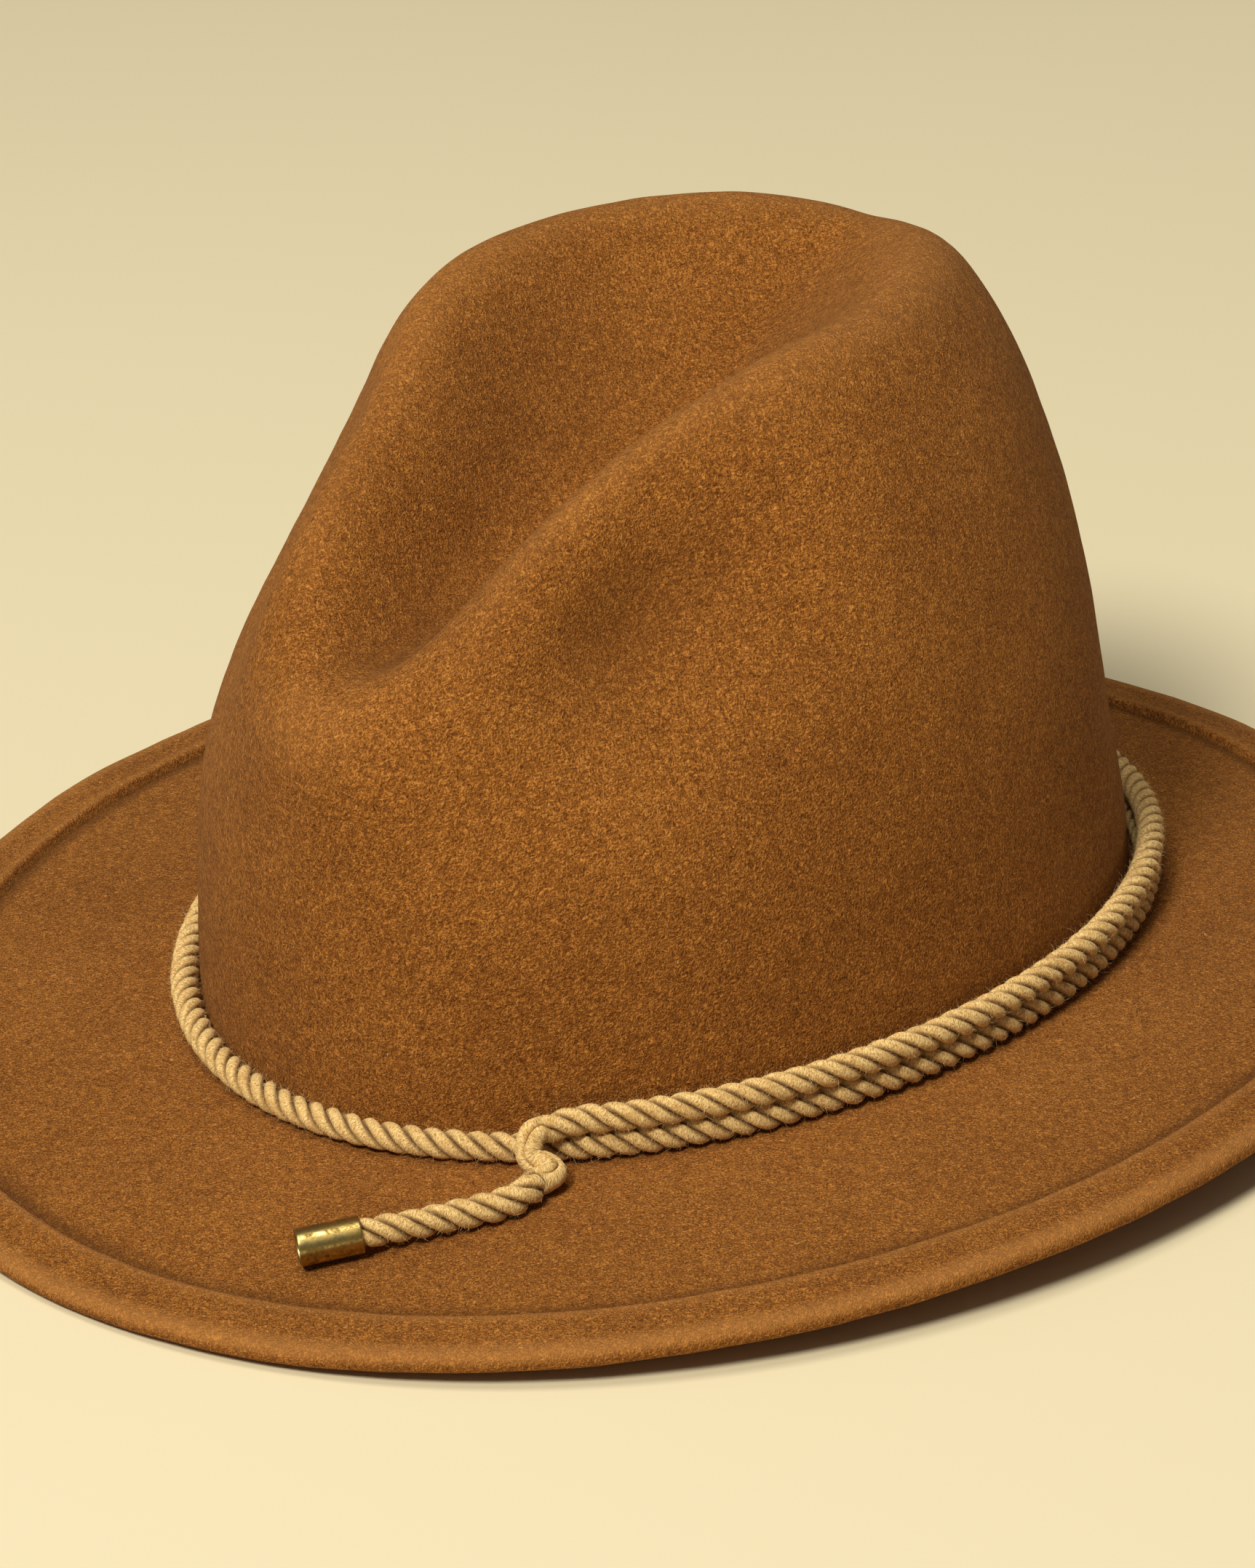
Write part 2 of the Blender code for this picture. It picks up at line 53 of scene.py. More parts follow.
# --- the shape, as the CAD has it -------------------------------------------------
CROWN_HALF_LENGTH = 102.9
CROWN_HALF_WIDTH = 88.1
FELT_THICKNESS = 2.3
CROWN_AXIS_Y = 5.6
BREAK_HEIGHT = 11.02
BREAK_SADDLE = 2.0
BRIM_HALF_LENGTH = 163.3
BRIM_HALF_WIDTH = 150.2
BRIM_EDGE_DROP = 4.85
BRIM_EDGE_SADDLE = 3.9
BRIM_FALL_POWER = 1.6
BREAK_FILLET = 3.0
WELT_WIDTH = 11.0
WELT_STEP = 2.0
CROWN_STATIONS = (
    (-100.0, 105.0, 87.5, 30.5, -14.5),
    (-70.0, 117.5, 82.5, 21.0, 17.0),
    (-40.0, 126.5, 87.0, 32.5, 39.5),
    (-10.0, 141.0, 97.0, 36.5, 33.5),
    (20.0, 148.5, 107.0, 38.5, 27.5),
    (50.0, 153.0, 122.5, 28.5, 16.0),
    (80.0, 156.0, 140.0, 19.0, 5.0),
    (110.0, 141.0, 151.5, 22.0, 4.5),
)
CROWN_TAPER_X = 0.18
CROWN_TAPER_Y = 0.10
CROWN_SQUARENESS = (3.3, 3.65)
CROWN_TAPER_POWER = (0.9, 1.6)
UPRIGHT_SHARE = 0.2
TROUGH_POWER = (1.65, 1.1)
TROUGH_ROUNDING = 3.0
TROUGH_TURN = 70.0
RIDGE_BLEND = 17.0
PINCH_Y = -47.5
PINCH_HEIGHT = 94.0
PINCH_DEPTH = 15.5
PINCH_LENGTH = 32.0
PINCH_WIDTH = 14.0
PINCH_LEAN = 0.9
PINCH_SIDES = (5.0, 49.0)
PROW_DEPTH = 8.5
PROW_HEIGHT = 82.0
PROW_SPREAD = (27.0, 24.5)
CLEARANCE = 0.3
SWEATBAND_HEIGHT = 38.0
SWEATBAND_THICKNESS = 1.0
SWEATBAND_RIM_GAP = 0.6
REED_RADIUS = 0.8
REED_HEIGHT = 1.6
TAPE_THICKNESS = 0.4
TAPE_LEG = 5.0
REED_INSET = 2 * CLEARANCE + TAPE_THICKNESS + REED_RADIUS
SWEATBAND_SETBACK = 2 * REED_INSET
THREAD_HEIGHT = 3.5
BOW_HEIGHT = 9.0
BOW_HALF_LENGTH = 11.0
BOW_THICKNESS = 0.8
ROPE_RADIUS = 2.6
ROPE_LOWER_OFFSET = 3.3
ROPE_LOWER_HEIGHT = 3.2
ROPE_UPPER_OFFSET = 3.9
ROPE_PITCH = 2 * ROPE_RADIUS + CLEARANCE
KNOT_ANGLE = 31.8
ROPE_START_ANGLE = KNOT_ANGLE + 2.0
ROPE_DROP_ANGLES = (196.0, 236.0)
ROPE_END_ANGLE = 360.0 + 188.0
ROPE_SAG_OFFSET = 1.0
KNOT_ROUTE = (
    (1.5, 5.9, 8.2), (-0.3, 7.8, 8.3), (-0.9, 9.3, 6.7), (-0.6, 10.8, 5.0),
    (1.6, 11.8, 4.2), (3.4, 12.4, 3.1), (3.0, 14.7, 2.8), (0.8, 16.1, 2.7),
)
TAIL_ROUTE = (
    (-0.1, 18.0, 2.5), (-1.6, 20.6, 2.3), (-4.1, 22.6, 2.1), (-8.5, 24.7, 1.8),
    (-14.6, 26.9, 1.5), (-20.6, 29.3, 1.3), (-26.8, 31.4, 1.2), (-37.6, 35.0, 0.5),
)
FERRULE_LENGTH = 12.0
FERRULE_RADIUS = 3.6
FERRULE_WALL = 0.5
FERRULE_OVERLAP = 8.5

# --- fine detail that only the looks have ------------------------------------------
FELT_AROUND = 300
RELIEF_PASSES = 52             # smoothing passes that tell creases from ridges
FELT_SPACING = 1.7             # between rows of the felt's mesh
FELT_UNEVENNESS = 0.16
ROPE_LAY = 13.4                # one full turn of a strand
STRAND_CENTRE = 1.38           # from the rope's own line
STRAND_HALF_DEPTH = 1.22
STRAND_HALF_WIDTH = 1.40
STRAND_SIDES = 18
STRAND_SPACING = 0.6
YARN_SLANT = math.radians(68)  # of the fibres, from the strand's own line
BAND_THICKNESS = 1.10          # of the loose rope against the CAD's plain tube
TAIL_THICKNESS = (1.06, 1.17)  # at the ferrule and at the knot
KNOT_THICKNESS = 1.06
KNOT_FULLNESS = 0.16           # how much wider its strands are, pressed together
KNOT_UNTWIST = 0.75            # share of the lay that is lost where it is tied
TWIST_START = 0.0
YARN_RADIUS = 1.4
FUZZ_PER_MM = 60
FUZZ_PIECES = 3                # so that none has too many faces
FELT_LIES = ((0.30, 0.25, 0.92), (-0.65, 0.45, 0.61), (0.72, 0.62, 0.31))

GOLDEN = 2.399963


# --- helpers: numbers and points ---------------------------------------------------
def smoothstep(value, low, high):
    share = np.clip((value - low) / (high - low), 0.0, 1.0)
    return share * share * (3.0 - 2.0 * share)


def smooth_minimum(first, second, blend):
    share = np.clip(0.5 + 0.5 * (second - first) / blend, 0.0, 1.0)
    return second + (first - second) * share - blend * share * (1.0 - share)


def through_stations(value, places, heights):
    slopes = np.gradient(heights, places)
    value = np.clip(value, places[0], places[-1])
    index = np.clip(np.searchsorted(places, value) - 1, 0, len(places) - 2)
    span = places[index + 1] - places[index]
    u = (value - places[index]) / span
    return (
        (2 * u**3 - 3 * u**2 + 1) * heights[index]
        + (u**3 - 2 * u**2 + u) * span * slopes[index]
        + (3 * u**2 - 2 * u**3) * heights[index + 1]
        + (u**3 - u**2) * span * slopes[index + 1]
    )


def unit(vectors):
    return vectors / np.maximum(np.linalg.norm(vectors, axis=-1, keepdims=True), 1e-9)


def run_length(points):
    steps = np.linalg.norm(np.diff(points, axis=0), axis=1)
    return np.concatenate([[0.0], np.cumsum(steps)])


def evenly(points, count):
    """The same line with its points spaced evenly."""
    run = run_length(points)
    wanted = np.linspace(0.0, run[-1], count)
    return np.stack([np.interp(wanted, run, points[:, axis]) for axis in range(3)], axis=1)


def curve_through(points, count, samples=40):
    points = [np.asarray(point, float) for point in points]
    padded = [2 * points[0] - points[1], *points, 2 * points[-1] - points[-2]]
    u = np.linspace(0.0, 1.0, samples, endpoint=False)[:, None]
    fine = [
        0.5 * (
            2 * b + (c - a) * u + (2 * a - 5 * b + 4 * c - d) * u**2
            + (3 * b - a - 3 * c + d) * u**3
        )
        for a, b, c, d in zip(padded, padded[1:], padded[2:], padded[3:])
    ]
    return evenly(np.concatenate([*fine, [points[-1]]]), count)


def waves(points, length, seed, count=18):
    """Smooth unevenness from -1 to 1 with features of about this length."""
    draw = np.random.default_rng(seed)
    directions = unit(draw.normal(size=(count, 3)))
    pitches = 2 * math.pi / (length * draw.uniform(0.7, 1.5, count))
    phases = draw.uniform(0.0, 2 * math.pi, count)
    total = np.zeros(points.shape[:-1])
    for direction, pitch, phase in zip(directions, pitches, phases):
        total += np.sin(points @ direction * pitch + phase)
    return total / math.sqrt(count)


# --- helpers: meshes ---------------------------------------------------------------
def mesh_object(name, points, faces, look, body, smooth=True):
    """points in millimetres about the crown's axis, faces as an array or a list."""
    points = np.asarray(points, float) + np.array([0.0, CROWN_AXIS_Y, 0.0])
    mesh = bpy.data.meshes.new(name)
    if isinstance(faces, np.ndarray):
        sides = faces.shape[1]
        mesh.vertices.add(len(points))
        mesh.vertices.foreach_set("co", (points * MM).astype(np.float32).ravel())
        mesh.loops.add(faces.size)
        mesh.loops.foreach_set("vertex_index", faces.astype(np.int32).ravel())
        mesh.polygons.add(len(faces))
        starts = np.arange(0, faces.size, sides, dtype=np.int32)
        mesh.polygons.foreach_set("loop_start", starts)
        mesh.update(calc_edges=True)
        mesh.validate()
    else:
        mesh.from_pydata((points * MM).tolist(), [], faces)
    mesh.polygons.foreach_set("use_smooth", [smooth] * len(mesh.polygons))
    mesh.materials.append(look)
    obj = bpy.data.objects.new(name, mesh)
    bpy.context.scene.collection.objects.link(obj)
    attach(obj, body)
    return obj


def point_attribute(obj, name, values):
    layer = obj.data.attributes.new(name, "FLOAT_VECTOR", "POINT")
    layer.data.foreach_set("vector", np.asarray(values, np.float32).ravel())


def grid_faces(rows, columns, first=0, wrap_columns=True, wrap_rows=False):
    """Quads of a grid of points that is stored row by row."""
    r = np.arange(rows if wrap_rows else rows - 1)[:, None]
    c = np.arange(columns if wrap_columns else columns - 1)[None, :]
    below, beside = (r + 1) % rows, (c + 1) % columns
    quads = np.stack(
        np.broadcast_arrays(
            r * columns + c, r * columns + beside, below * columns + beside, below * columns + c
        ),
        axis=-1,
    )
    return quads.reshape(-1, 4) + first


def mark_sharp(obj, angle):
    obj.data.set_sharp_from_angle(angle=math.radians(angle))


# --- helpers: materials ------------------------------------------------------------
class Look:
    """A node material as it is wired. Each method adds a node and returns its output."""

    def __init__(self, name):
        self.material = bpy.data.materials.new(name)
        self.material.use_nodes = True
        self.tree = self.material.node_tree
        self.shader = self.tree.nodes["Principled BSDF"]

    def node(self, kind, **settings):
        made = self.tree.nodes.new(kind)
        for name, value in settings.items():
            setattr(made, name, value)
        return made

    def put(self, socket, value):
        if isinstance(value, bpy.types.NodeSocket):
            self.tree.links.new(value, socket)
        elif isinstance(value, tuple) and len(value) == 3 and socket.type == "RGBA":
            socket.default_value = (*value, 1.0)
        else:
            socket.default_value = value

    def finish(self, **inputs):
        for name, value in inputs.items():
            self.put(self.shader.inputs[name.replace("_", " ")], value)
        return self.material

    def millimetres(self, stretch=(1.0, 1.0, 1.0)):
        place = self.node("ShaderNodeTexCoord").outputs["Object"]
        scaled = self.node("ShaderNodeVectorMath", operation="MULTIPLY")
        self.put(scaled.inputs[0], place)
        self.put(scaled.inputs[1], tuple(1000.0 * share for share in stretch))
        return scaled.outputs[0]

    def attribute(self, name, stretch=(1.0, 1.0, 1.0)):
        place = self.node("ShaderNodeAttribute", attribute_name=name).outputs["Vector"]
        scaled = self.node("ShaderNodeVectorMath", operation="MULTIPLY")
        self.put(scaled.inputs[0], place)
        self.put(scaled.inputs[1], stretch)
        return scaled.outputs[0]

    def drawn_out(self, place, direction, times):
        """The same place, with patterns on it stretched along a direction."""
        along = self.node("ShaderNodeVectorMath", operation="DOT_PRODUCT")
        self.put(along.inputs[0], place)
        self.put(along.inputs[1], direction)
        shift = self.node("ShaderNodeVectorMath", operation="SCALE")
        self.put(shift.inputs[0], direction)
        self.put(shift.inputs[3], self.math("MULTIPLY", along.outputs["Value"], 1 / times - 1))
        moved = self.node("ShaderNodeVectorMath", operation="ADD")
        self.put(moved.inputs[0], place)
        self.put(moved.inputs[1], shift.outputs[0])
        return moved.outputs[0]

    def wandering(self, place, scale, reach):
        """The same place moved about a little, so that straight marks curl."""
        made = self.node("ShaderNodeTexNoise")
        self.put(made.inputs["Vector"], place)
        self.put(made.inputs["Scale"], scale)
        self.put(made.inputs["Detail"], 1.0)
        moved = self.node("ShaderNodeVectorMath", operation="MULTIPLY_ADD")
        self.put(moved.inputs[0], made.outputs["Color"])
        self.put(moved.inputs[1], (reach, reach, reach))
        self.put(moved.inputs[2], place)
        return moved.outputs[0]

    def noise(self, place, scale, detail=2.0, roughness=0.5, distortion=0.0, kind="FBM"):
        made = self.node("ShaderNodeTexNoise", noise_type=kind)
        made.normalize = kind == "FBM"
        self.put(made.inputs["Vector"], place)
        for name, value in (("Scale", scale), ("Detail", detail), ("Roughness", roughness),
                            ("Distortion", distortion)):
            self.put(made.inputs[name], value)
        return made.outputs[0]

    def cells(self, place, scale, feature="F1", output="Distance", randomness=1.0):
        made = self.node("ShaderNodeTexVoronoi", feature=feature)
        self.put(made.inputs["Vector"], place)
        self.put(made.inputs["Scale"], scale)
        self.put(made.inputs["Randomness"], randomness)
        return made.outputs[output]

    def math(self, operation, first, second=0.0, third=0.0, clamp=False):
        made = self.node("ShaderNodeMath", operation=operation, use_clamp=clamp)
        for socket, value in zip(made.inputs, (first, second, third)):
            self.put(socket, value)
        return made.outputs[0]

    def fit(self, value, low, high, to_low=0.0, to_high=1.0):
        made = self.node("ShaderNodeMapRange", interpolation_type="SMOOTHSTEP")
        for index, number in enumerate((value, low, high, to_low, to_high)):
            self.put(made.inputs[index], number)
        return made.outputs[0]

    def mix(self, share, first, second, blend="MIX"):
        made = self.node("ShaderNodeMix", data_type="RGBA", blend_type=blend)
        self.put(made.inputs[0], share)
        self.put(made.inputs[6], first)
        self.put(made.inputs[7], second)
        return made.outputs[2]

    def ramp(self, value, *stops):
        made = self.node("ShaderNodeValToRGB")
        while len(made.color_ramp.elements) < len(stops):
            made.color_ramp.elements.new(0.5)
        for element, (place, colour) in zip(made.color_ramp.elements, stops):
            element.position = place
            element.color = (*colour, 1.0)
        self.put(made.inputs[0], value)
        return made.outputs[0]

    def bump(self, height, strength, distance, under=None):
        made = self.node("ShaderNodeBump")
        self.put(made.inputs["Height"], height)
        made.inputs["Strength"].default_value = strength
        made.inputs["Distance"].default_value = distance * MM
        if under is not None:
            self.put(made.inputs["Normal"], under)
        return made.outputs[0]


def felt_look():
    look = Look("wool_felt")
    place = look.millimetres()
    curly = look.wandering(place, 0.7, 1.1)
    hairs = [look.noise(look.drawn_out(curly, lie, 5.0), 3.6, 1.5, 0.55) for lie in FELT_LIES]
    light = look.math("MAXIMUM", look.math("MAXIMUM", hairs[0], hairs[1]), hairs[2])
    dark = look.math("MINIMUM", look.math("MINIMUM", hairs[0], hairs[1]), hairs[2])
    layers = (
        (light, 2.0), (dark, 1.75),
        (look.noise(place, 0.03, 3.0), 0.25),
        (look.noise(place, 0.5, 3.0, 0.6), 0.55),
    )
    tone = 0.5 - 2.0 * 0.60 - 1.75 * 0.40 - 0.5 * (0.25 + 0.55)
    for layer, weight in layers:
        tone = look.math("MULTIPLY_ADD", layer, weight, tone)
    colour = look.ramp(
        tone,
        (0.0, (0.094, 0.028, 0.004)), (0.5, (0.258, 0.089, 0.014)), (1.0, (0.60, 0.250, 0.050)),
    )
    parts = look.node("ShaderNodeSeparateXYZ")
    look.put(parts.inputs[0], look.attribute("painted_light"))
    # painted highlight on the welt's lip and round the brim's rim, where x of the point attribute is
    # above 0
    colour = look.mix(look.fit(parts.outputs[0], 0.0, 1.0, 0.0, 0.42), colour, (0.56, 0.25, 0.07))
    # painted shadow on the brim just inside the welt's step, where x of the point attribute is below 0
    colour = look.mix(look.fit(parts.outputs[0], -1.0, 0.0, 0.6, 0.0), colour, (0.08, 0.027, 0.005))
    # painted shade in the crown's creases, from its relief in y
    creased = look.fit(parts.outputs[1], -2.0, 0.4, 0.45, 0.0)
    colour = look.mix(creased, colour, (0.10, 0.030, 0.004))
    # painted highlight along the crown's ridges
    ridged = look.fit(parts.outputs[1], 0.9, 3.0, 0.0, 0.16)
    colour = look.mix(ridged, colour, (0.56, 0.25, 0.07))
    lint = look.cells(look.drawn_out(curly, (0.6, -0.4, 0.69), 3.0), 0.13)
    speck = look.fit(lint, 0.010, 0.026, 0.75, 0.0)
    colour = look.mix(speck, colour, (0.80, 0.58, 0.30))
    soft = look.bump(layers[3][0], 0.3, 0.5)
    nap = look.math("ADD", light, dark)
    return look.finish(
        Base_Color=colour, Roughness=0.92, Normal=look.bump(nap, 0.9, 0.42, soft),
        Sheen_Weight=0.06, Sheen_Roughness=0.45, Sheen_Tint=(0.85, 0.62, 0.38),
        Specular_IOR_Level=0.12,
    )


def rope_look(name="jute_rope"):
    look = Look(name)
    place = look.millimetres()
    streak = look.noise(look.attribute("fibre", (0.9, 4.2, 1.0)), 1.0, 3.0, 0.6, 0.35)
    hair = look.noise(look.attribute("fibre", (1.5, 9.5, 1.0)), 1.0, 2.0, 0.6, 0.3)
    patch = look.noise(place, 0.22, 3.0, 0.55)
    tone = look.math("MULTIPLY_ADD", streak, 0.5, look.math("MULTIPLY", hair, 0.5))
    colour = look.ramp(
        look.fit(tone, 0.33, 0.67),
        (0.0, (0.38, 0.18, 0.045)), (0.30, (0.68, 0.41, 0.13)),
        (0.62, (0.92, 0.64, 0.26)), (1.0, (1.0, 0.84, 0.48)),
    )
    browner = look.fit(patch, 0.50, 0.75, 0.0, 0.45)
    colour = look.mix(browner, colour, (0.50, 0.25, 0.065))
    parts = look.node("ShaderNodeSeparateXYZ")
    look.put(parts.inputs[0], look.attribute("groove"))
    # painted shade in the grooves between the strands
    colour = look.mix(look.fit(parts.outputs[0], 0.34, 0.62, 0.0, 0.8), colour, (0.20, 0.09, 0.022))
    height = look.math("MULTIPLY_ADD", streak, 0.6, look.math("MULTIPLY", hair, 0.4))
    return look.finish(
        Base_Color=colour, Roughness=0.8, Normal=look.bump(height, 1.0, 0.34),
        Sheen_Weight=0.15, Sheen_Roughness=0.4, Sheen_Tint=(0.95, 0.82, 0.6),
        Specular_IOR_Level=0.25,
    )


def fuzz_look():
    look = Look("jute_fibres")
    tone = look.noise(look.millimetres(), 0.9, 1.0)
    colour = look.ramp(
        look.fit(tone, 0.35, 0.65), (0.0, (0.50, 0.28, 0.09)), (1.0, (0.92, 0.70, 0.36)),
    )
    return look.finish(Base_Color=colour, Roughness=0.7, Specular_IOR_Level=0.3)


def brass_look():
    look = Look("antique_brass")
    place = look.millimetres()
    around = look.attribute("fibre", (0.5, 6.0, 1.0))
    patina = look.noise(place, 0.45, 4.0, 0.65, 0.5)
    grime = look.noise(place, 1.7, 3.0, 0.6)
    scratch = look.noise(around, 1.0, 2.0, 0.6)
    tone = look.math("MULTIPLY_ADD", patina, 0.65, look.math("MULTIPLY", grime, 0.35))
    colour = look.ramp(
        look.fit(tone, 0.26, 0.70),
        (0.0, (0.10, 0.06, 0.018)), (0.45, (0.36, 0.25, 0.075)), (1.0, (0.66, 0.50, 0.20)),
    )
    height = look.math("MULTIPLY_ADD", scratch, 0.3, look.math("MULTIPLY", grime, 0.7))
    return look.finish(
        Base_Color=colour, Metallic=1.0, Roughness=look.fit(tone, 0.36, 0.62, 0.5, 0.27),
        Normal=look.bump(height, 0.35, 0.05),
    )


def leather_look():
    look = Look("sweatband_leather")
    place = look.millimetres()
    grain = look.cells(place, 1.3)
    folds = look.noise(place, 0.5, 3.0, 0.6, 0.4)
    wear_and_painted_light = look.noise(place, 0.06, 3.0)
    colour = look.ramp(
        look.fit(look.math("MULTIPLY_ADD", folds, 0.4, look.math("MULTIPLY", wear_and_painted_light, 0.6)), 0.35, 0.65),
        (0.0, (0.105, 0.043, 0.016)), (1.0, (0.26, 0.122, 0.05)),
    )
    colour = look.mix(look.fit(grain, 0.0, 0.5, 0.35, 0.0), colour, (0.06, 0.024, 0.01))
    soft = look.bump(folds, 0.25, 0.3)
    return look.finish(
        Base_Color=colour, Roughness=look.fit(grain, 0.0, 0.6, 0.62, 0.42),
        Normal=look.bump(grain, 0.45, 0.12, soft), Specular_IOR_Level=0.4,
    )


def plastic_look():
    look = Look("reed_plastic")
    haze = look.noise(look.millimetres(), 0.3, 3.0)
    colour = look.ramp(haze, (0.3, (0.62, 0.57, 0.44)), (0.7, (0.76, 0.72, 0.60)))
    return look.finish(
        Base_Color=colour, Roughness=look.fit(haze, 0.3, 0.7, 0.3, 0.45),
        Subsurface_Weight=0.15, Subsurface_Radius=(0.001, 0.0008, 0.0006),
    )


def cloth_look():
    look = Look("tape_cloth")
    weave = look.attribute("fibre", (1.0, 1.0, 1.0))
    parts = look.node("ShaderNodeSeparateXYZ")
    look.put(parts.inputs[0], weave)
    warp = look.math("SINE", look.math("MULTIPLY", parts.outputs[0], 13.0))
    weft = look.math("SINE", look.math("MULTIPLY", parts.outputs[1], 13.0))
    cross = look.math("MULTIPLY", warp, weft)
    tone = look.noise(weave, 0.8, 2.0)
    colour = look.mix(look.fit(cross, -0.6, 0.6), (0.055, 0.030, 0.016), (0.12, 0.07, 0.038))
    colour = look.mix(look.fit(tone, 0.4, 0.7, 0.0, 0.4), colour, (0.03, 0.017, 0.01))
    return look.finish(
        Base_Color=colour, Roughness=0.88, Normal=look.bump(cross, 0.5, 0.06),
        Sheen_Weight=0.1, Sheen_Roughness=0.5,
    )


def thread_look():
    look = Look("waxed_thread")
    twist = look.attribute("fibre", (1.0, 1.0, 1.0))
    parts = look.node("ShaderNodeSeparateXYZ")
    look.put(parts.inputs[0], twist)
    ply = look.math("SINE", look.math("ADD", look.math("MULTIPLY", parts.outputs[0], 9.0),
                                      look.math("MULTIPLY", parts.outputs[1], 2.0)))
    colour = look.mix(look.fit(ply, -1.0, 0.4), (0.10, 0.048, 0.02), (0.34, 0.20, 0.10))
    return look.finish(Base_Color=colour, Roughness=0.6, Normal=look.bump(ply, 0.6, 0.05))


def floor_look():
    look = Look("studio_floor")
    tone = look.noise(look.millimetres(), 0.002, 2.0)
    colour = look.ramp(tone, (0.3, (0.81, 0.72, 0.495)), (0.7, (0.83, 0.74, 0.515)))
    return look.finish(Base_Color=colour, Roughness=0.95, Specular_IOR_Level=0.1)


# --- camera and light --------------------------------------------------------------
def make_camera():
    azimuth, elevation, roll = math.radians(44.0), math.radians(24.87), math.radians(-3.79)
    back = Vector((
        math.sin(azimuth) * math.cos(elevation), -math.cos(azimuth) * math.cos(elevation),
        math.sin(elevation),
    ))
    level = Vector((math.cos(azimuth), math.sin(azimuth), 0.0))
    upward = back.cross(level)
    right = math.cos(roll) * level + math.sin(roll) * upward
    up = -math.sin(roll) * level + math.cos(roll) * upward
    data = bpy.data.cameras.new("camera")
    data.lens, data.sensor_width = 116.88, 36.0
    data.clip_start, data.clip_end = 0.05, 50.0
    camera = bpy.data.objects.new("camera", data)
    bpy.context.scene.collection.objects.link(camera)
    matrix = Matrix((right, up, back)).transposed().to_4x4()
    matrix.translation = MM * (
        Vector((0.0, CROWN_AXIS_Y, BREAK_HEIGHT)) + 1045.5 * back - 8.86 * right + 26.95 * up
    )
    camera.matrix_world = matrix
    bpy.context.scene.camera = camera
    bpy.context.scene.view_settings.view_transform = "Standard"


def area_light(name, azimuth, elevation, distance, size, power, colour):
    """A soft box that looks at the hat. Azimuth 0 is in front of it and 90 on its left."""
    data = bpy.data.lights.new(name, "AREA")
    data.shape, data.size, data.energy, data.color = "DISK", size, power, colour
    light = bpy.data.objects.new(name, data)
    bpy.context.scene.collection.objects.link(light)
    turn, rise = math.radians(azimuth), math.radians(elevation)
    away = Vector((
        math.sin(turn) * math.cos(rise), -math.cos(turn) * math.cos(rise), math.sin(rise)
    ))
    light.location = Vector((0.0, 0.0, 0.06)) + away * distance
    light.rotation_mode = "QUATERNION"
    light.rotation_quaternion = away.to_track_quat("Z", "Y")


def make_stage():
    size = 6.0
    mesh = bpy.data.meshes.new("floor")
    mesh.from_pydata([(-size, -size, 0), (size, -size, 0), (size, size, 0), (-size, size, 0)],
                     [], [(0, 1, 2, 3)])
    mesh.materials.append(floor_look())
    floor = bpy.data.objects.new("floor", mesh)
    floor.location.z = -0.0004
    bpy.context.scene.collection.objects.link(floor)
    world = bpy.data.worlds.new("studio")
    world.use_nodes = True
    world.node_tree.nodes["Background"].inputs[0].default_value = (1.0, 0.96, 0.88, 1.0)
    world.node_tree.nodes["Background"].inputs[1].default_value = 0.12
    bpy.context.scene.world = world
    area_light("key", 12.0, 51.0, 3.0, 0.8, 75.0, (1.0, 0.955, 0.84))
    area_light("top", 20.0, 84.0, 3.0, 1.2, 30.0, (1.0, 0.955, 0.84))


# --- the felt ----------------------------------------------------------------------
def relief(rows):
    """How far each point stands above its smoothed surroundings, in mm."""
    calm = rows.copy()
    for _ in range(RELIEF_PASSES):
        calm[1:-1] = 0.25 * (calm[:-2] + 2 * calm[1:-1] + calm[2:])
        calm = 0.25 * (np.roll(calm, 1, axis=1) + 2 * calm + np.roll(calm, -1, axis=1))
    return np.sum((rows - calm) * sheet_normals(rows), axis=-1)


def break_height(angle):
    return BREAK_HEIGHT - BREAK_SADDLE * np.cos(2 * angle)


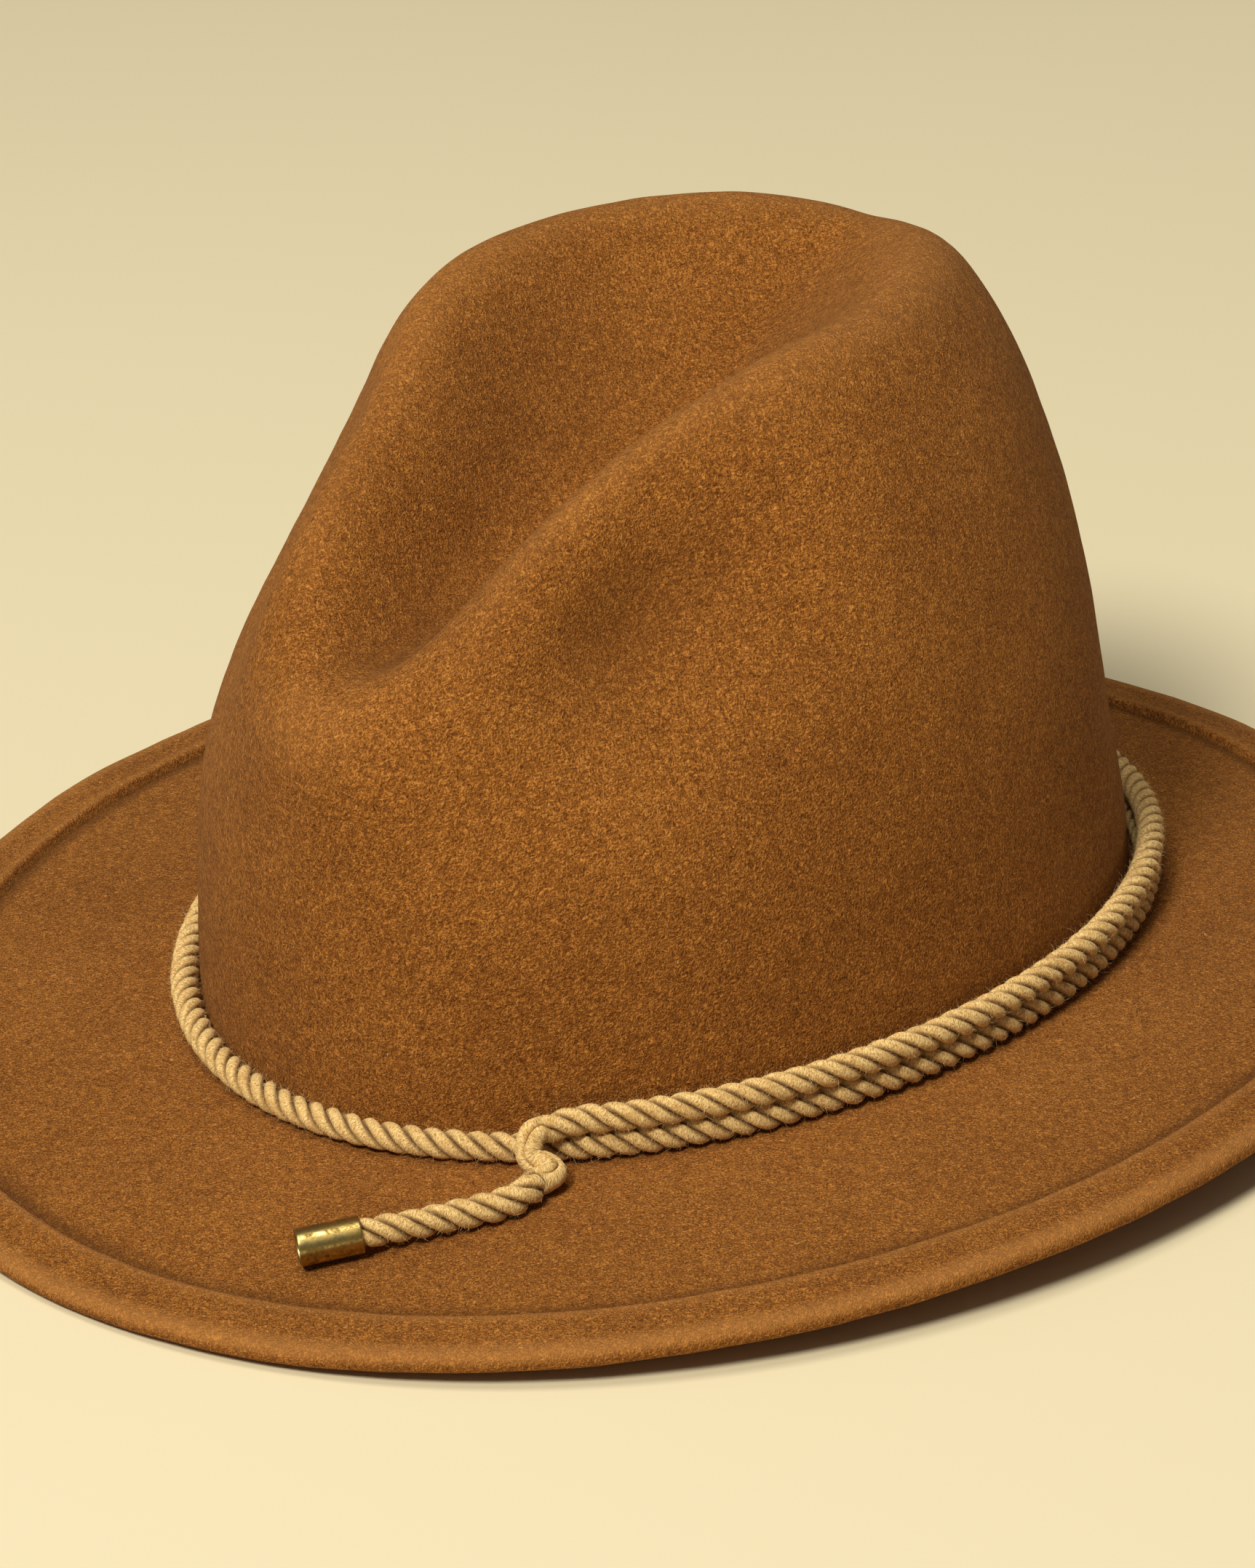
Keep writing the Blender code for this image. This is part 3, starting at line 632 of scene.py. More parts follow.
def crown_face(angle, rise):
    """The crown's outer face: rise is 0 at the brim break and 1 at the top's middle."""
    places, dome, floor, half_width, depth = np.array(CROWN_STATIONS).T
    front_share = 0.5 + 0.5 * np.cos(angle)
    squareness = CROWN_SQUARENESS[0] + np.ptp(CROWN_SQUARENESS) * front_share
    taper_power = CROWN_TAPER_POWER[0] + np.ptp(CROWN_TAPER_POWER) * front_share
    lean = rise * math.pi / 2
    spread = np.cos(lean) ** (2 / squareness)
    height = np.sin(lean) ** (2 / squareness)
    taper = height**taper_power * smoothstep(height, 0.0, UPRIGHT_SHARE)
    x = CROWN_HALF_WIDTH * spread * (1 - CROWN_TAPER_X * taper) * np.sin(angle)
    y = -CROWN_HALF_LENGTH * spread * (1 - CROWN_TAPER_Y * taper) * np.cos(angle)
    z = through_stations(y, places, dome) * height
    power = TROUGH_POWER[0] - np.ptp(TROUGH_POWER) * smoothstep(y, -TROUGH_TURN, TROUGH_TURN)
    across = np.hypot(x, TROUGH_ROUNDING) / through_stations(y, places, half_width)
    trough = through_stations(y, places, floor) + through_stations(y, places, depth) * across**power
    pressed = smoothstep(height, 0.35, 0.7)
    z = z * (1 - pressed) + pressed * smooth_minimum(z, trough, RIDGE_BLEND)
    upward, backward = z - PINCH_HEIGHT, y - PINCH_Y
    along = (upward * math.cos(PINCH_LEAN) + backward * math.sin(PINCH_LEAN)) / PINCH_LENGTH
    aside = (backward * math.cos(PINCH_LEAN) - upward * math.sin(PINCH_LEAN)) / PINCH_WIDTH
    pinch = PINCH_DEPTH * np.exp(-(along**2) - aside**2) * smoothstep(np.abs(x), *PINCH_SIDES)
    x = x - np.sign(x) * pinch
    prow = np.exp(-((x / PROW_SPREAD[0]) ** 2) - ((z - PROW_HEIGHT) / PROW_SPREAD[1]) ** 2)
    y = y - PROW_DEPTH * prow * smoothstep(-y, 40.0, 80.0)
    z = z + BREAK_HEIGHT - BREAK_SADDLE * np.cos(2 * angle) * (1 - smoothstep(height, 0.0, 0.5))
    return np.stack([x, y, z], axis=-1)


def brim_face(angle, share):
    """The brim's upper face: share is 0 at the break and 1 at the edge."""
    break_z = break_height(angle)
    edge_z = BREAK_HEIGHT - BRIM_EDGE_DROP - BRIM_EDGE_SADDLE * np.cos(2 * angle)
    half_width = CROWN_HALF_WIDTH + (BRIM_HALF_WIDTH - CROWN_HALF_WIDTH) * share
    half_length = CROWN_HALF_LENGTH + (BRIM_HALF_LENGTH - CROWN_HALF_LENGTH) * share
    x = half_width * np.sin(angle)
    y = -CROWN_AXIS_Y * share - half_length * np.cos(angle)
    z = break_z + (edge_z - break_z) * share**BRIM_FALL_POWER
    return np.stack([x, y, z], axis=-1)


def brim_width(angle):
    edge = brim_face(angle, 1.0 + 0 * angle)
    base = brim_face(angle, 0.0 * angle)
    return np.linalg.norm((edge - base)[..., :2], axis=-1)


def fillet_face(angle, turn):
    """The rounded break: turn is 0 on the crown's wall and 1 on the brim."""
    wall = brim_face(angle, 0.0 * angle)
    out = brim_face(angle, BREAK_FILLET / brim_width(angle)) - wall
    bend = turn * math.pi / 2
    sideways = 1 - np.cos(bend)
    upward = BREAK_FILLET * (1 - np.sin(bend))
    return wall + out * np.asarray(sideways)[..., None] + np.stack(
        [0 * angle, 0 * angle, upward + 0 * angle], axis=-1
    )


def sheet_normals(sheet):
    around = np.roll(sheet, -1, axis=1) - np.roll(sheet, 1, axis=1)
    down = np.gradient(sheet, axis=0)
    return unit(np.cross(down, around))


def crown_rows(angles):
    """Rows from near the top's middle down to the fillet, spaced about evenly."""
    rises = 1 - np.linspace(0.0, 1.0, 1500) ** 1.6
    rises = rises[rises < 0.9993]
    dense = np.stack([crown_face(angles, rise + 0 * angles) for rise in rises])
    floor = break_height(angles) + BREAK_FILLET
    above = dense[:, :, 2] > floor
    last = np.argmin(above, axis=0)
    columns = []
    for column, end in enumerate(last):
        low, high = dense[end, column], dense[end - 1, column]
        share = (floor[column] - low[2]) / (high[2] - low[2])
        columns.append(np.concatenate([dense[:end, column], [low + share * (high - low)]]))
    runs = [run_length(column) for column in columns]
    count = int(np.mean([run[-1] for run in runs]) / FELT_SPACING)
    shares = np.linspace(0.0, 1.0, count)
    resampled = [
        np.stack([np.interp(shares * run[-1], run, column[:, axis]) for axis in range(3)], axis=-1)
        for run, column in zip(runs, columns)
    ]
    return np.stack(resampled, axis=1)


def felt_rows():
    """The felt's closed skin as rows around the hat, from the top over the edge and back."""
    angles = np.linspace(0.0, 2 * math.pi, FELT_AROUND, endpoint=False)
    crown = crown_rows(angles)
    fillet = np.array([fillet_face(angles, turn) for turn in np.linspace(0.0, 1.0, 7)[1:]])
    width = brim_width(angles)
    first, welt = BREAK_FILLET / width, 1 - WELT_WIDTH / width
    flat_count = int((width.mean() - BREAK_FILLET - WELT_WIDTH) / FELT_SPACING)
    flat = np.array([
        brim_face(angles, first + (welt - first) * share)
        for share in np.linspace(0.0, 1.0, flat_count)[1:]
    ])
    fold_places = np.array([0.02, 0.05, 0.12, 0.25, 0.4, 0.55, 0.7, 0.85, 1.0])
    fold = np.array([brim_face(angles, welt + (1 - welt) * place) for place in fold_places])
    sheet = np.concatenate([crown, fillet, flat, fold])
    normals = sheet_normals(sheet)
    uneven = FELT_UNEVENNESS * (waves(sheet, 34.0, 5) + 0.35 * waves(sheet, 9.0, 6))
    sheet = sheet + uneven[..., None] * normals
    welt_row = len(sheet) - len(fold)
    lift = WELT_STEP * np.array([0.55, 0.9, 1.02, 1.04, 1.03, 1.02, 1.01, 1.0, 1.0])
    raised = sheet[welt_row:] + lift[:, None, None] * normals[welt_row:]
    groove = sheet[welt_row - 1] - 0.35 * normals[welt_row - 1]
    under = sheet - FELT_THICKNESS * normals
    half = (WELT_STEP + FELT_THICKNESS) / 2
    middle = (raised[-1] + under[-1]) / 2
    outward = unit(sheet[-1] - sheet[-2])
    edge = np.array([
        middle + half * (math.cos(bend) * normals[-1] + math.sin(bend) * outward)
        for bend in np.linspace(0.0, math.pi, 12)[1:-1]
    ])
    rows = np.concatenate([sheet[: welt_row - 1], groove[None], raised, edge, under[::-1]])
    # per row: above 0 a painted highlight, below 0 a painted shadow
    painted_light = np.zeros(len(rows))
    # painted highlight on the welt's inner lip
    painted_light[welt_row + 1: welt_row + 4] = (0.35, 0.6, 0.3)
    rim = welt_row + len(raised)
    # painted highlight round the brim's rim
    painted_light[rim - 2: rim + 5] = (0.5, 0.8, 1.0, 1.0, 0.9, 0.6, 0.3)
    # painted shadow on the brim just inside the welt's step
    painted_light[welt_row - 3: welt_row] = (-0.3, -0.8, -1.0)
    return rows, painted_light, len(crown)


def make_felt():
    rows, painted_light, crown_count = felt_rows()
    points = np.concatenate([rows.reshape(-1, 3), [rows[0].mean(axis=0), rows[-1].mean(axis=0)]])
    quads = grid_faces(len(rows), FELT_AROUND)
    faces = quads[:, ::-1].tolist()
    top, bottom = len(points) - 2, len(points) - 1
    last = (len(rows) - 1) * FELT_AROUND
    for i in range(FELT_AROUND):
        j = (i + 1) % FELT_AROUND
        faces.append((top, i, j))
        faces.append((bottom, last + j, last + i))
    obj = mesh_object("felt_hat", points, faces, felt_look(), "hat")
    # painted highlight and painted shadow of each row, in x
    wear_and_painted_light = np.concatenate([np.repeat(painted_light, FELT_AROUND), [0.0, 0.0]])
    # the crown's relief, in y, for painted shade in creases and painted highlight on ridges
    rise = np.zeros(rows.shape[:2])
    rise[:crown_count] = relief(rows[:crown_count])
    creased = np.concatenate([rise.reshape(-1), [0.0, 0.0]])
    point_attribute(obj, "painted_light", np.stack([wear_and_painted_light, creased, 0 * wear_and_painted_light], axis=-1))
    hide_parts("felt_body")


# --- the rope ----------------------------------------------------------------------
def band_point(angle, offset, height):
    outward = np.array([
        math.sin(angle) / CROWN_HALF_WIDTH, -math.cos(angle) / CROWN_HALF_LENGTH, 0.0
    ])
    outward /= np.linalg.norm(outward)
    point = np.array([CROWN_HALF_WIDTH * math.sin(angle), -CROWN_HALF_LENGTH * math.cos(angle), 0.0])
    point = point + offset * outward
    point[2] = break_height(angle) + height
    return point


def rope_route():
    route = []
    for degree in np.linspace(ROPE_START_ANGLE, ROPE_END_ANGLE, 400):
        dropped = float(smoothstep(degree, *ROPE_DROP_ANGLES))
        offset = ROPE_UPPER_OFFSET + (ROPE_LOWER_OFFSET - ROPE_UPPER_OFFSET) * dropped
        height = ROPE_LOWER_HEIGHT + ROPE_PITCH * (1 - dropped)
        stand_off = math.exp(-((((degree % 360.0) - 155.0) / 28.0) ** 2))
        route.append(band_point(math.radians(degree), offset + ROPE_SAG_OFFSET * stand_off, height))
    return np.array(route)


def in_knot_frame(points):
    angle = math.radians(KNOT_ANGLE)
    centre = band_point(angle, 0.0, 0.0)
    ahead = band_point(angle + 0.01, 0.0, 0.0) - centre
    ahead[2] = 0.0
    ahead /= np.linalg.norm(ahead)
    outward = band_point(angle, 1.0, 0.0) - centre
    up = np.array([0.0, 0.0, 1.0])
    return [centre + a * ahead + o * outward + u * up for a, o, u in points]


def rope_frames(path):
    """Tangents and two crosswise directions that don't spin along a path."""
    tangents = unit(np.gradient(path, axis=0))
    across = np.cross(tangents[0], [0.0, 0.0, 1.0])
    across /= np.linalg.norm(across)
    rows = [across]
    for i in range(1, len(path)):
        step = path[i] - path[i - 1]
        mirror = step @ step
        left = rows[-1] - 2 / mirror * (step @ rows[-1]) * step
        turned = tangents[i - 1] - 2 / mirror * (step @ tangents[i - 1]) * step
        second = tangents[i] - turned
        size = second @ second
        if size > 1e-12:
            left = left - 2 / size * (second @ left) * second
        rows.append(left)
    across = unit(np.array(rows))
    return tangents, across, np.cross(tangents, across)


class RopeLine:
    """A rope's centre line, with what varies from point to point along it."""

    def __init__(self, path, run, tangents, across, upward, thickness, twist, fullness):
        self.parts = (path, run, tangents, across, upward, thickness, twist, fullness)
        self.path, self.run, self.tangents, self.across, self.upward = self.parts[:5]
        self.thickness, self.twist, self.fullness = self.parts[5:]

    def cut(self, low, high):
        return RopeLine(*(part[low:high] for part in self.parts))

    def around(self, turn, at=slice(None)):
        """Directions out of the line and along its skin, turned by some angles."""
        side, high = self.across[at], self.upward[at]
        cosine, sine = np.cos(turn)[:, None], np.sin(turn)[:, None]
        return cosine * side + sine * high, cosine * high - sine * side


def strand(rope, number):
    """One of three strands: its rings of points, fibre places and shares of groove."""
    run = rope.run
    out, beside = rope.around(2 * math.pi * (rope.twist + number / 3))
    place = np.linspace(-math.pi, math.pi, STRAND_SIDES, endpoint=False)
    lump_at = np.stack([run, 0 * run + 40.0 * number, 0 * run], axis=-1)
    lumps = 1 + 0.045 * waves(lump_at, 6.0, 11 + number) + 0.03 * waves(lump_at, 1.7, 31 + number)
    depth = STRAND_CENTRE + STRAND_HALF_DEPTH * lumps[:, None] * np.cos(place)
    width = STRAND_HALF_WIDTH * (lumps * rope.fullness)[:, None] * np.sin(place)
    limit = math.tan(math.pi / 3) * depth - 0.03
    width = np.sign(width) * smooth_minimum(np.abs(width), limit, 0.12)
    width = np.where(np.abs(np.sin(place)) < 1e-6, 0.0, width)
    depth, width = depth * rope.thickness[:, None], width * rope.thickness[:, None]
    rings = (
        rope.path[:, None] + depth[..., None] * out[:, None] + width[..., None] * beside[:, None]
    )
    around = np.broadcast_to(place * YARN_RADIUS, depth.shape)
    along = np.broadcast_to((run * 1.2)[:, None], depth.shape)
    fibre = np.stack([
        along * math.cos(YARN_SLANT) - around * math.sin(YARN_SLANT),
        along * math.sin(YARN_SLANT) + around * math.cos(YARN_SLANT),
        np.full(depth.shape, 17.0 * number),
    ], axis=-1)
    # how far into the painted shade between strands a point lies, less where the knot presses them
    # together
    groove = np.abs(place) / math.pi - 1.2 * (rope.fullness[:, None] - 1)
    return rings, fibre, np.stack([groove, 0 * groove, 0 * groove], axis=-1)


def strands_object(name, rope, look, body):
    """Three closed strands in one object."""
    points, fibres, grooves, faces, first = [], [], [], [], 0
    for number in range(3):
        rings, fibre, groove = strand(rope, number)
        faces += grid_faces(len(rings), STRAND_SIDES, first)[:, ::-1].tolist()
        size = len(rings) * STRAND_SIDES
        last = first + size - STRAND_SIDES
        for i in range(STRAND_SIDES):
            j = (i + 1) % STRAND_SIDES
            faces.append((first + j, first + i, first + size))
            faces.append((last + i, last + j, first + size + 1))
        points += [rings.reshape(-1, 3), rings[:1].mean(axis=1), rings[-1:].mean(axis=1)]
        fibres += [fibre.reshape(-1, 3), fibre[0, :1], fibre[-1, :1]]
        grooves += [groove.reshape(-1, 3), groove[0, :1], groove[-1, :1]]
        first += size + 2
    obj = mesh_object(name, np.concatenate(points), faces, look, body)
    point_attribute(obj, "fibre", np.concatenate(fibres))
    point_attribute(obj, "groove", np.concatenate(grooves))
    return obj


def fuzz_object(name, rope, seed, look, body):
    """Loose fibres standing off a rope: curved spikes, three-sided and closed."""
    draw = np.random.default_rng(seed)
    count = int((rope.run[-1] - rope.run[0]) * FUZZ_PER_MM)
    at = draw.uniform(0.02, 0.98, count) * (len(rope.path) - 1)
    low = at.astype(int)
    share = at - low
    turn = draw.uniform(0.0, 2 * math.pi, count)
    lay = 2 * math.pi * np.interp(at, np.arange(len(rope.run)), rope.twist)
    in_strand = (turn - lay + math.pi / 3) % (2 * math.pi / 3) - math.pi / 3
    out, beside = rope.around(turn, low)
    along = rope.tangents[low]
    surface = STRAND_CENTRE * np.cos(in_strand) + STRAND_HALF_DEPTH * 0.93 - 0.5 * in_strand**2
    surface = surface * rope.thickness[low]
    following = np.minimum(low + 1, len(rope.path) - 1)
    centre = rope.path[low] + share[:, None] * (rope.path[following] - rope.path[low])
    root = centre + out * surface[:, None]
    length = 0.4 + 0.42 * draw.exponential(1.0, count).clip(0.0, 5.0)
    lie = draw.normal(size=(count, 2))
    stand = draw.uniform(0.12, 0.85, count)[:, None]
    side = np.sign(draw.uniform(-0.6, 1.0, count))[:, None]
    heading = unit(out * stand + along * lie[:, :1] * 0.8 + beside * (0.9 + 0.5 * lie[:, 1:]) * side)
    curl = draw.normal(size=(count, 3)) * 0.35
    thick = draw.uniform(0.022, 0.042, count)
    sides = unit(np.cross(heading, out + 0.01))
    other = np.cross(heading, sides)
    rings = []
    for reached, width in ((-0.12, 1.0), (0.5, 0.75)):
        middle = root + length[:, None] * (reached * heading + reached**2 * curl)
        for corner in range(3):
            bend = 2 * math.pi * corner / 3
            rings.append(
                middle + (thick * width)[:, None] * (math.cos(bend) * sides + math.sin(bend) * other)
            )
    rings.append(root + length[:, None] * (heading + curl))
    points = np.stack(rings, axis=1).reshape(-1, 3)
    spike = [(2, 1, 0)]
    for i in range(3):
        j = (i + 1) % 3
        spike += [(i, j, 3 + j), (i, 3 + j, 3 + i), (3 + i, 3 + j, 6)]
    faces = (np.arange(count)[:, None, None] * 7 + np.array(spike)[None]).reshape(-1, 3)
    obj = mesh_object(name, points, faces, look, body)
    return obj


def make_rope():
    """The whole rope as one line, then the band with its knot, and the free tail."""
    look, fuzz = rope_look(), fuzz_look()
    knot, tail = in_knot_frame(KNOT_ROUTE), in_knot_frame(TAIL_ROUTE)
    rough = curve_through([*tail[::-1], *knot[::-1], *rope_route()[2::3]], 4000, samples=30)
    path = evenly(rough, int(run_length(rough)[-1] / STRAND_SPACING))
    run = run_length(path)
    pivot = int(np.argmin(np.linalg.norm(path[:200] - tail[0], axis=1)))
    knot_start, knot_end = run[pivot], run[pivot] + run_length(np.array(knot))[-1]
    in_knot = smoothstep(run, knot_start, knot_start + 4.0) * (
        1 - smoothstep(run, knot_end - 1.0, knot_end + 6.0)
    )
    towards_knot = np.clip(run / knot_start, 0.0, 1.0)
    in_tail = 1 - smoothstep(run, knot_start, knot_start + 5.0)
    thickness = BAND_THICKNESS + in_knot * (KNOT_THICKNESS - BAND_THICKNESS)
    thickness = thickness + in_tail * (
        TAIL_THICKNESS[0] + np.ptp(TAIL_THICKNESS) * towards_knot - thickness
    )
    turning = (1 - in_knot * KNOT_UNTWIST) / ROPE_LAY
    twist = np.concatenate([[0.0], np.cumsum(turning[1:] * np.diff(run))]) + TWIST_START
    fullness = 1 + in_knot * KNOT_FULLNESS
    rope = RopeLine(path, run, *rope_frames(path), thickness, twist, fullness)

    band = strands_object("rope_band_and_knot", rope.cut(pivot + 2, None), look, "band")
    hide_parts("rope_band", "knot")
    cuts = np.linspace(pivot, len(path), FUZZ_PIECES + 1).astype(int)
    for index, (low, high) in enumerate(zip(cuts, cuts[1:])):
        fuzz_object(f"rope_band_fuzz_{index + 1}", rope.cut(low, high), 3 + 10 * index, fuzz, "band")
    inside = pivot + 5
    tail_rope = strands_object("rope_tail", rope.cut(2, inside), look, "tail")
    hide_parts("tail")
    tail_fuzz = fuzz_object("rope_tail_fuzz", rope.cut(18, inside), 4, fuzz, "tail")
    metres = (path[2:inside][::-1] + np.array([0.0, CROWN_AXIS_Y, 0.0])) * MM
    return tail_rope, tail_fuzz, metres, path


def make_ferrule(path):
    """A rolled brass tube on the tail's end, open where the rope's end shows."""
    end = path[0]
    direction = unit(path[0] - path[12])
    start = end - direction * FERRULE_OVERLAP
    inner = FERRULE_RADIUS - FERRULE_WALL
    lip = 0.24
    profile = []
    for bend in np.linspace(math.pi, math.pi / 2, 6):
        profile.append((FERRULE_RADIUS - lip + lip * math.sin(bend), lip + lip * math.cos(bend)))
    for along in np.linspace(0.08, 0.92, 15):
        profile.append((FERRULE_RADIUS, FERRULE_LENGTH * along))
    for bend in np.linspace(math.pi / 2, 0.0, 6):
        profile.append((FERRULE_RADIUS - lip + lip * math.sin(bend),
                        FERRULE_LENGTH - lip + lip * math.cos(bend)))
    for bend in np.linspace(0.0, -math.pi / 2, 4)[1:]:
        profile.append((inner + lip + lip * math.sin(bend),
                        FERRULE_LENGTH - lip + lip * math.cos(bend)))
    for along in np.linspace(0.92, 0.08, 9):
        profile.append((inner, FERRULE_LENGTH * along))
    for bend in np.linspace(-math.pi / 2, -math.pi, 4)[:-1]:
        profile.append((inner + lip + lip * math.sin(bend), lip + lip * math.cos(bend)))
    sides = 72
    side = unit(np.cross(direction, [0.0, 0.0, 1.0]))
    up = np.cross(side, direction)
    turn = np.linspace(0.0, 2 * math.pi, sides, endpoint=False)
    radius, along = np.array(profile).T
    grid_radius = radius[:, None] + 0.03 * np.sin(3 * turn + 1.0)[None, :]
    points = (
        start + along[:, None, None] * direction
        + grid_radius[..., None] * (
            np.cos(turn)[None, :, None] * side + np.sin(turn)[None, :, None] * up
        )
    )
    faces = grid_faces(len(profile), sides, wrap_rows=True)
    obj = mesh_object("brass_ferrule", points.reshape(-1, 3), faces, brass_look(), "tail")
    fibre = np.stack(np.broadcast_arrays(
        turn[None, :] * FERRULE_RADIUS, along[:, None], 0 * grid_radius
    ), axis=-1)
    point_attribute(obj, "fibre", fibre.reshape(-1, 3))
    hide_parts("ferrule")
    return obj


# --- the sweatband -----------------------------------------------------------------
def wall_rings(heights, angles):
    """The felt's inner wall at some heights over the break, and the way out."""
    outward = unit(np.stack([
        np.sin(angles) / CROWN_HALF_WIDTH, -np.cos(angles) / CROWN_HALF_LENGTH, 0 * angles
    ], axis=-1))
    walls = []
    for height in heights:
        low, high = 0.0 * angles, 0.6 + 0.0 * angles
        for _ in range(26):
            middle = (low + high) / 2
            below = crown_face(angles, middle)[..., 2] < BREAK_HEIGHT + max(height, 0.5)
            low, high = np.where(below, middle, low), np.where(below, high, middle)
        wall = crown_face(angles, (low + high) / 2)
        wall[..., 2] = break_height(angles) + height
        walls.append(wall - FELT_THICKNESS * outward)
    return np.array(walls), outward


def ring_solid(name, section, look, body, around=360):
    """A closed band around the inside of the crown, from a closed section."""
    angles = np.linspace(0.0, 2 * math.pi, around, endpoint=False)
    inward, up = np.array(section).T
    walls, outward = wall_rings(up, angles)
    points = walls - inward[:, None, None] * outward[None]
    faces = grid_faces(len(section), around, wrap_rows=True)
    obj = mesh_object(name, points.reshape(-1, 3), faces, look, body)
    girth = math.pi * (CROWN_HALF_LENGTH + CROWN_HALF_WIDTH)
    run = run_length(np.column_stack([inward, up, 0 * up]))
    fibre = np.stack(np.broadcast_arrays(
        (angles / (2 * math.pi) * girth)[None, :], run[:, None], np.zeros((len(section), around))
    ), axis=-1)
    point_attribute(obj, "fibre", fibre.reshape(-1, 3))
    return obj


def flip_if_inside_out(obj):
    """Turns the faces over if the closed mesh's volume comes out negative."""
    import bmesh
    work = bmesh.new()
    work.from_mesh(obj.data)
    if work.calc_volume(signed=True) < 0:
        bmesh.ops.reverse_faces(work, faces=work.faces)
        work.to_mesh(obj.data)
    work.free()


def make_sweatband():
    leather, thread = leather_look(), thread_look()
    foot, rim, thick = SWEATBAND_SETBACK, SWEATBAND_RIM_GAP, SWEATBAND_THICKNESS
    heights = np.linspace(0.0, SWEATBAND_HEIGHT - 0.5, 26)

    def outer(height):
        return foot + (rim - foot) * smoothstep(height, 9.0, SWEATBAND_HEIGHT)

    lip = thick / 2
    section = [(outer(h) + thick, h) for h in heights]
    section += [
        (outer(SWEATBAND_HEIGHT) + lip + lip * math.cos(b), SWEATBAND_HEIGHT - lip + lip * math.sin(b))
        for b in np.linspace(0.0, math.pi, 7)[1:-1]
    ]
    section += [(outer(h), h) for h in heights[::-1]]
    section += [
        (foot + lip + lip * math.cos(b), lip * math.sin(b))
        for b in np.linspace(math.pi, 2 * math.pi, 7)[1:-1]
    ]
    band = ring_solid("sweatband_leather", section, leather, "hat")
    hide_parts("sweatband")

    reed = ring_solid("sweatband_reed_rod", [
        (REED_INSET + REED_RADIUS * math.cos(b), REED_HEIGHT + REED_RADIUS * math.sin(b))
        for b in np.linspace(0.0, 2 * math.pi, 18, endpoint=False)
    ], plastic_look(), "hat")
    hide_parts("sweatband_reed")

    inner = REED_RADIUS + CLEARANCE * 0.6
    outer_radius = REED_RADIUS + CLEARANCE + TAPE_THICKNESS

    def arc(radius, turns):
        return [(REED_INSET + radius * math.cos(t), REED_HEIGHT + radius * math.sin(t)) for t in turns]

    bends = np.linspace(0.0, -math.pi, 14)
    tape_section = [(REED_INSET + outer_radius, REED_HEIGHT + h) for h in np.linspace(TAPE_LEG, 0.8, 5)]
    tape_section += [*arc(outer_radius, bends), (REED_INSET - outer_radius, REED_HEIGHT + 1.6)]
    tape_section += [(REED_INSET - inner, REED_HEIGHT + 1.6), *arc(inner, bends[::-1])]
    tape_section += [(REED_INSET + inner, REED_HEIGHT + h) for h in np.linspace(0.8, TAPE_LEG, 5)]
    tape = ring_solid("reed_tape_cloth", tape_section, cloth_look(), "hat", around=480)
    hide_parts("reed_tape")
    make_stitches(thread)
    make_bow(leather)
    for name in ("sweatband_leather", "sweatband_reed_rod", "reed_tape_cloth"):
        flip_if_inside_out(bpy.data.objects[name])


def make_stitches(look):
    """Lock stitches along the sweatband's foot: one small closed hump of thread each."""
    pitch, span = 3.2, 2.5
    girth = math.pi * (CROWN_HALF_LENGTH + CROWN_HALF_WIDTH - 2 * FELT_THICKNESS - 9)
    count = int(girth / pitch)
    steps, sides = 9, 8
    inward = SWEATBAND_SETBACK + SWEATBAND_THICKNESS
    centres = np.linspace(0.0, 2 * math.pi, count, endpoint=False)
    share = np.linspace(-0.5, 0.5, steps)
    angles = (centres[:, None] + share[None, :] * span / girth * 2 * math.pi).ravel()
    walls, outward = wall_rings([THREAD_HEIGHT], angles)
    rise = 0.42 * np.sqrt(np.clip(1 - (2 * share) ** 4, 0.0, 1.0)) - 0.12
    line = walls[0] - (inward + np.tile(rise, count))[:, None] * outward
    line = line.reshape(count, steps, 3)
    outward = outward.reshape(count, steps, 3)
    radius = 0.24 * np.sqrt(np.clip(1.04 - (2 * share) ** 6, 0.04, 1.0))
    turn = np.linspace(0.0, 2 * math.pi, sides, endpoint=False)
    up = np.array([0.0, 0.0, 1.0])
    rings = line[:, :, None] + radius[None, :, None, None] * (
        np.cos(turn)[None, None, :, None] * outward[:, :, None]
        + np.sin(turn)[None, None, :, None] * up
    )
    points = rings.reshape(-1, 3)
    faces = []
    size = steps * sides
    one = grid_faces(steps, sides).tolist()
    one += [tuple(range(sides)), tuple(range(size - 1, size - 1 - sides, -1))]
    for index in range(count):
        faces += [tuple(v + index * size for v in face) for face in one]
    obj = mesh_object("sweatband_stitches", points, faces, look, "hat")
    along = np.broadcast_to((share * span)[None, :, None], (count, steps, sides))
    around = np.broadcast_to(turn[None, None, :], (count, steps, sides))
    point_attribute(obj, "fibre", np.stack([along, around, 0 * along], axis=-1).reshape(-1, 3))
    flip_if_inside_out(obj)
    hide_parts("sweatband_thread")


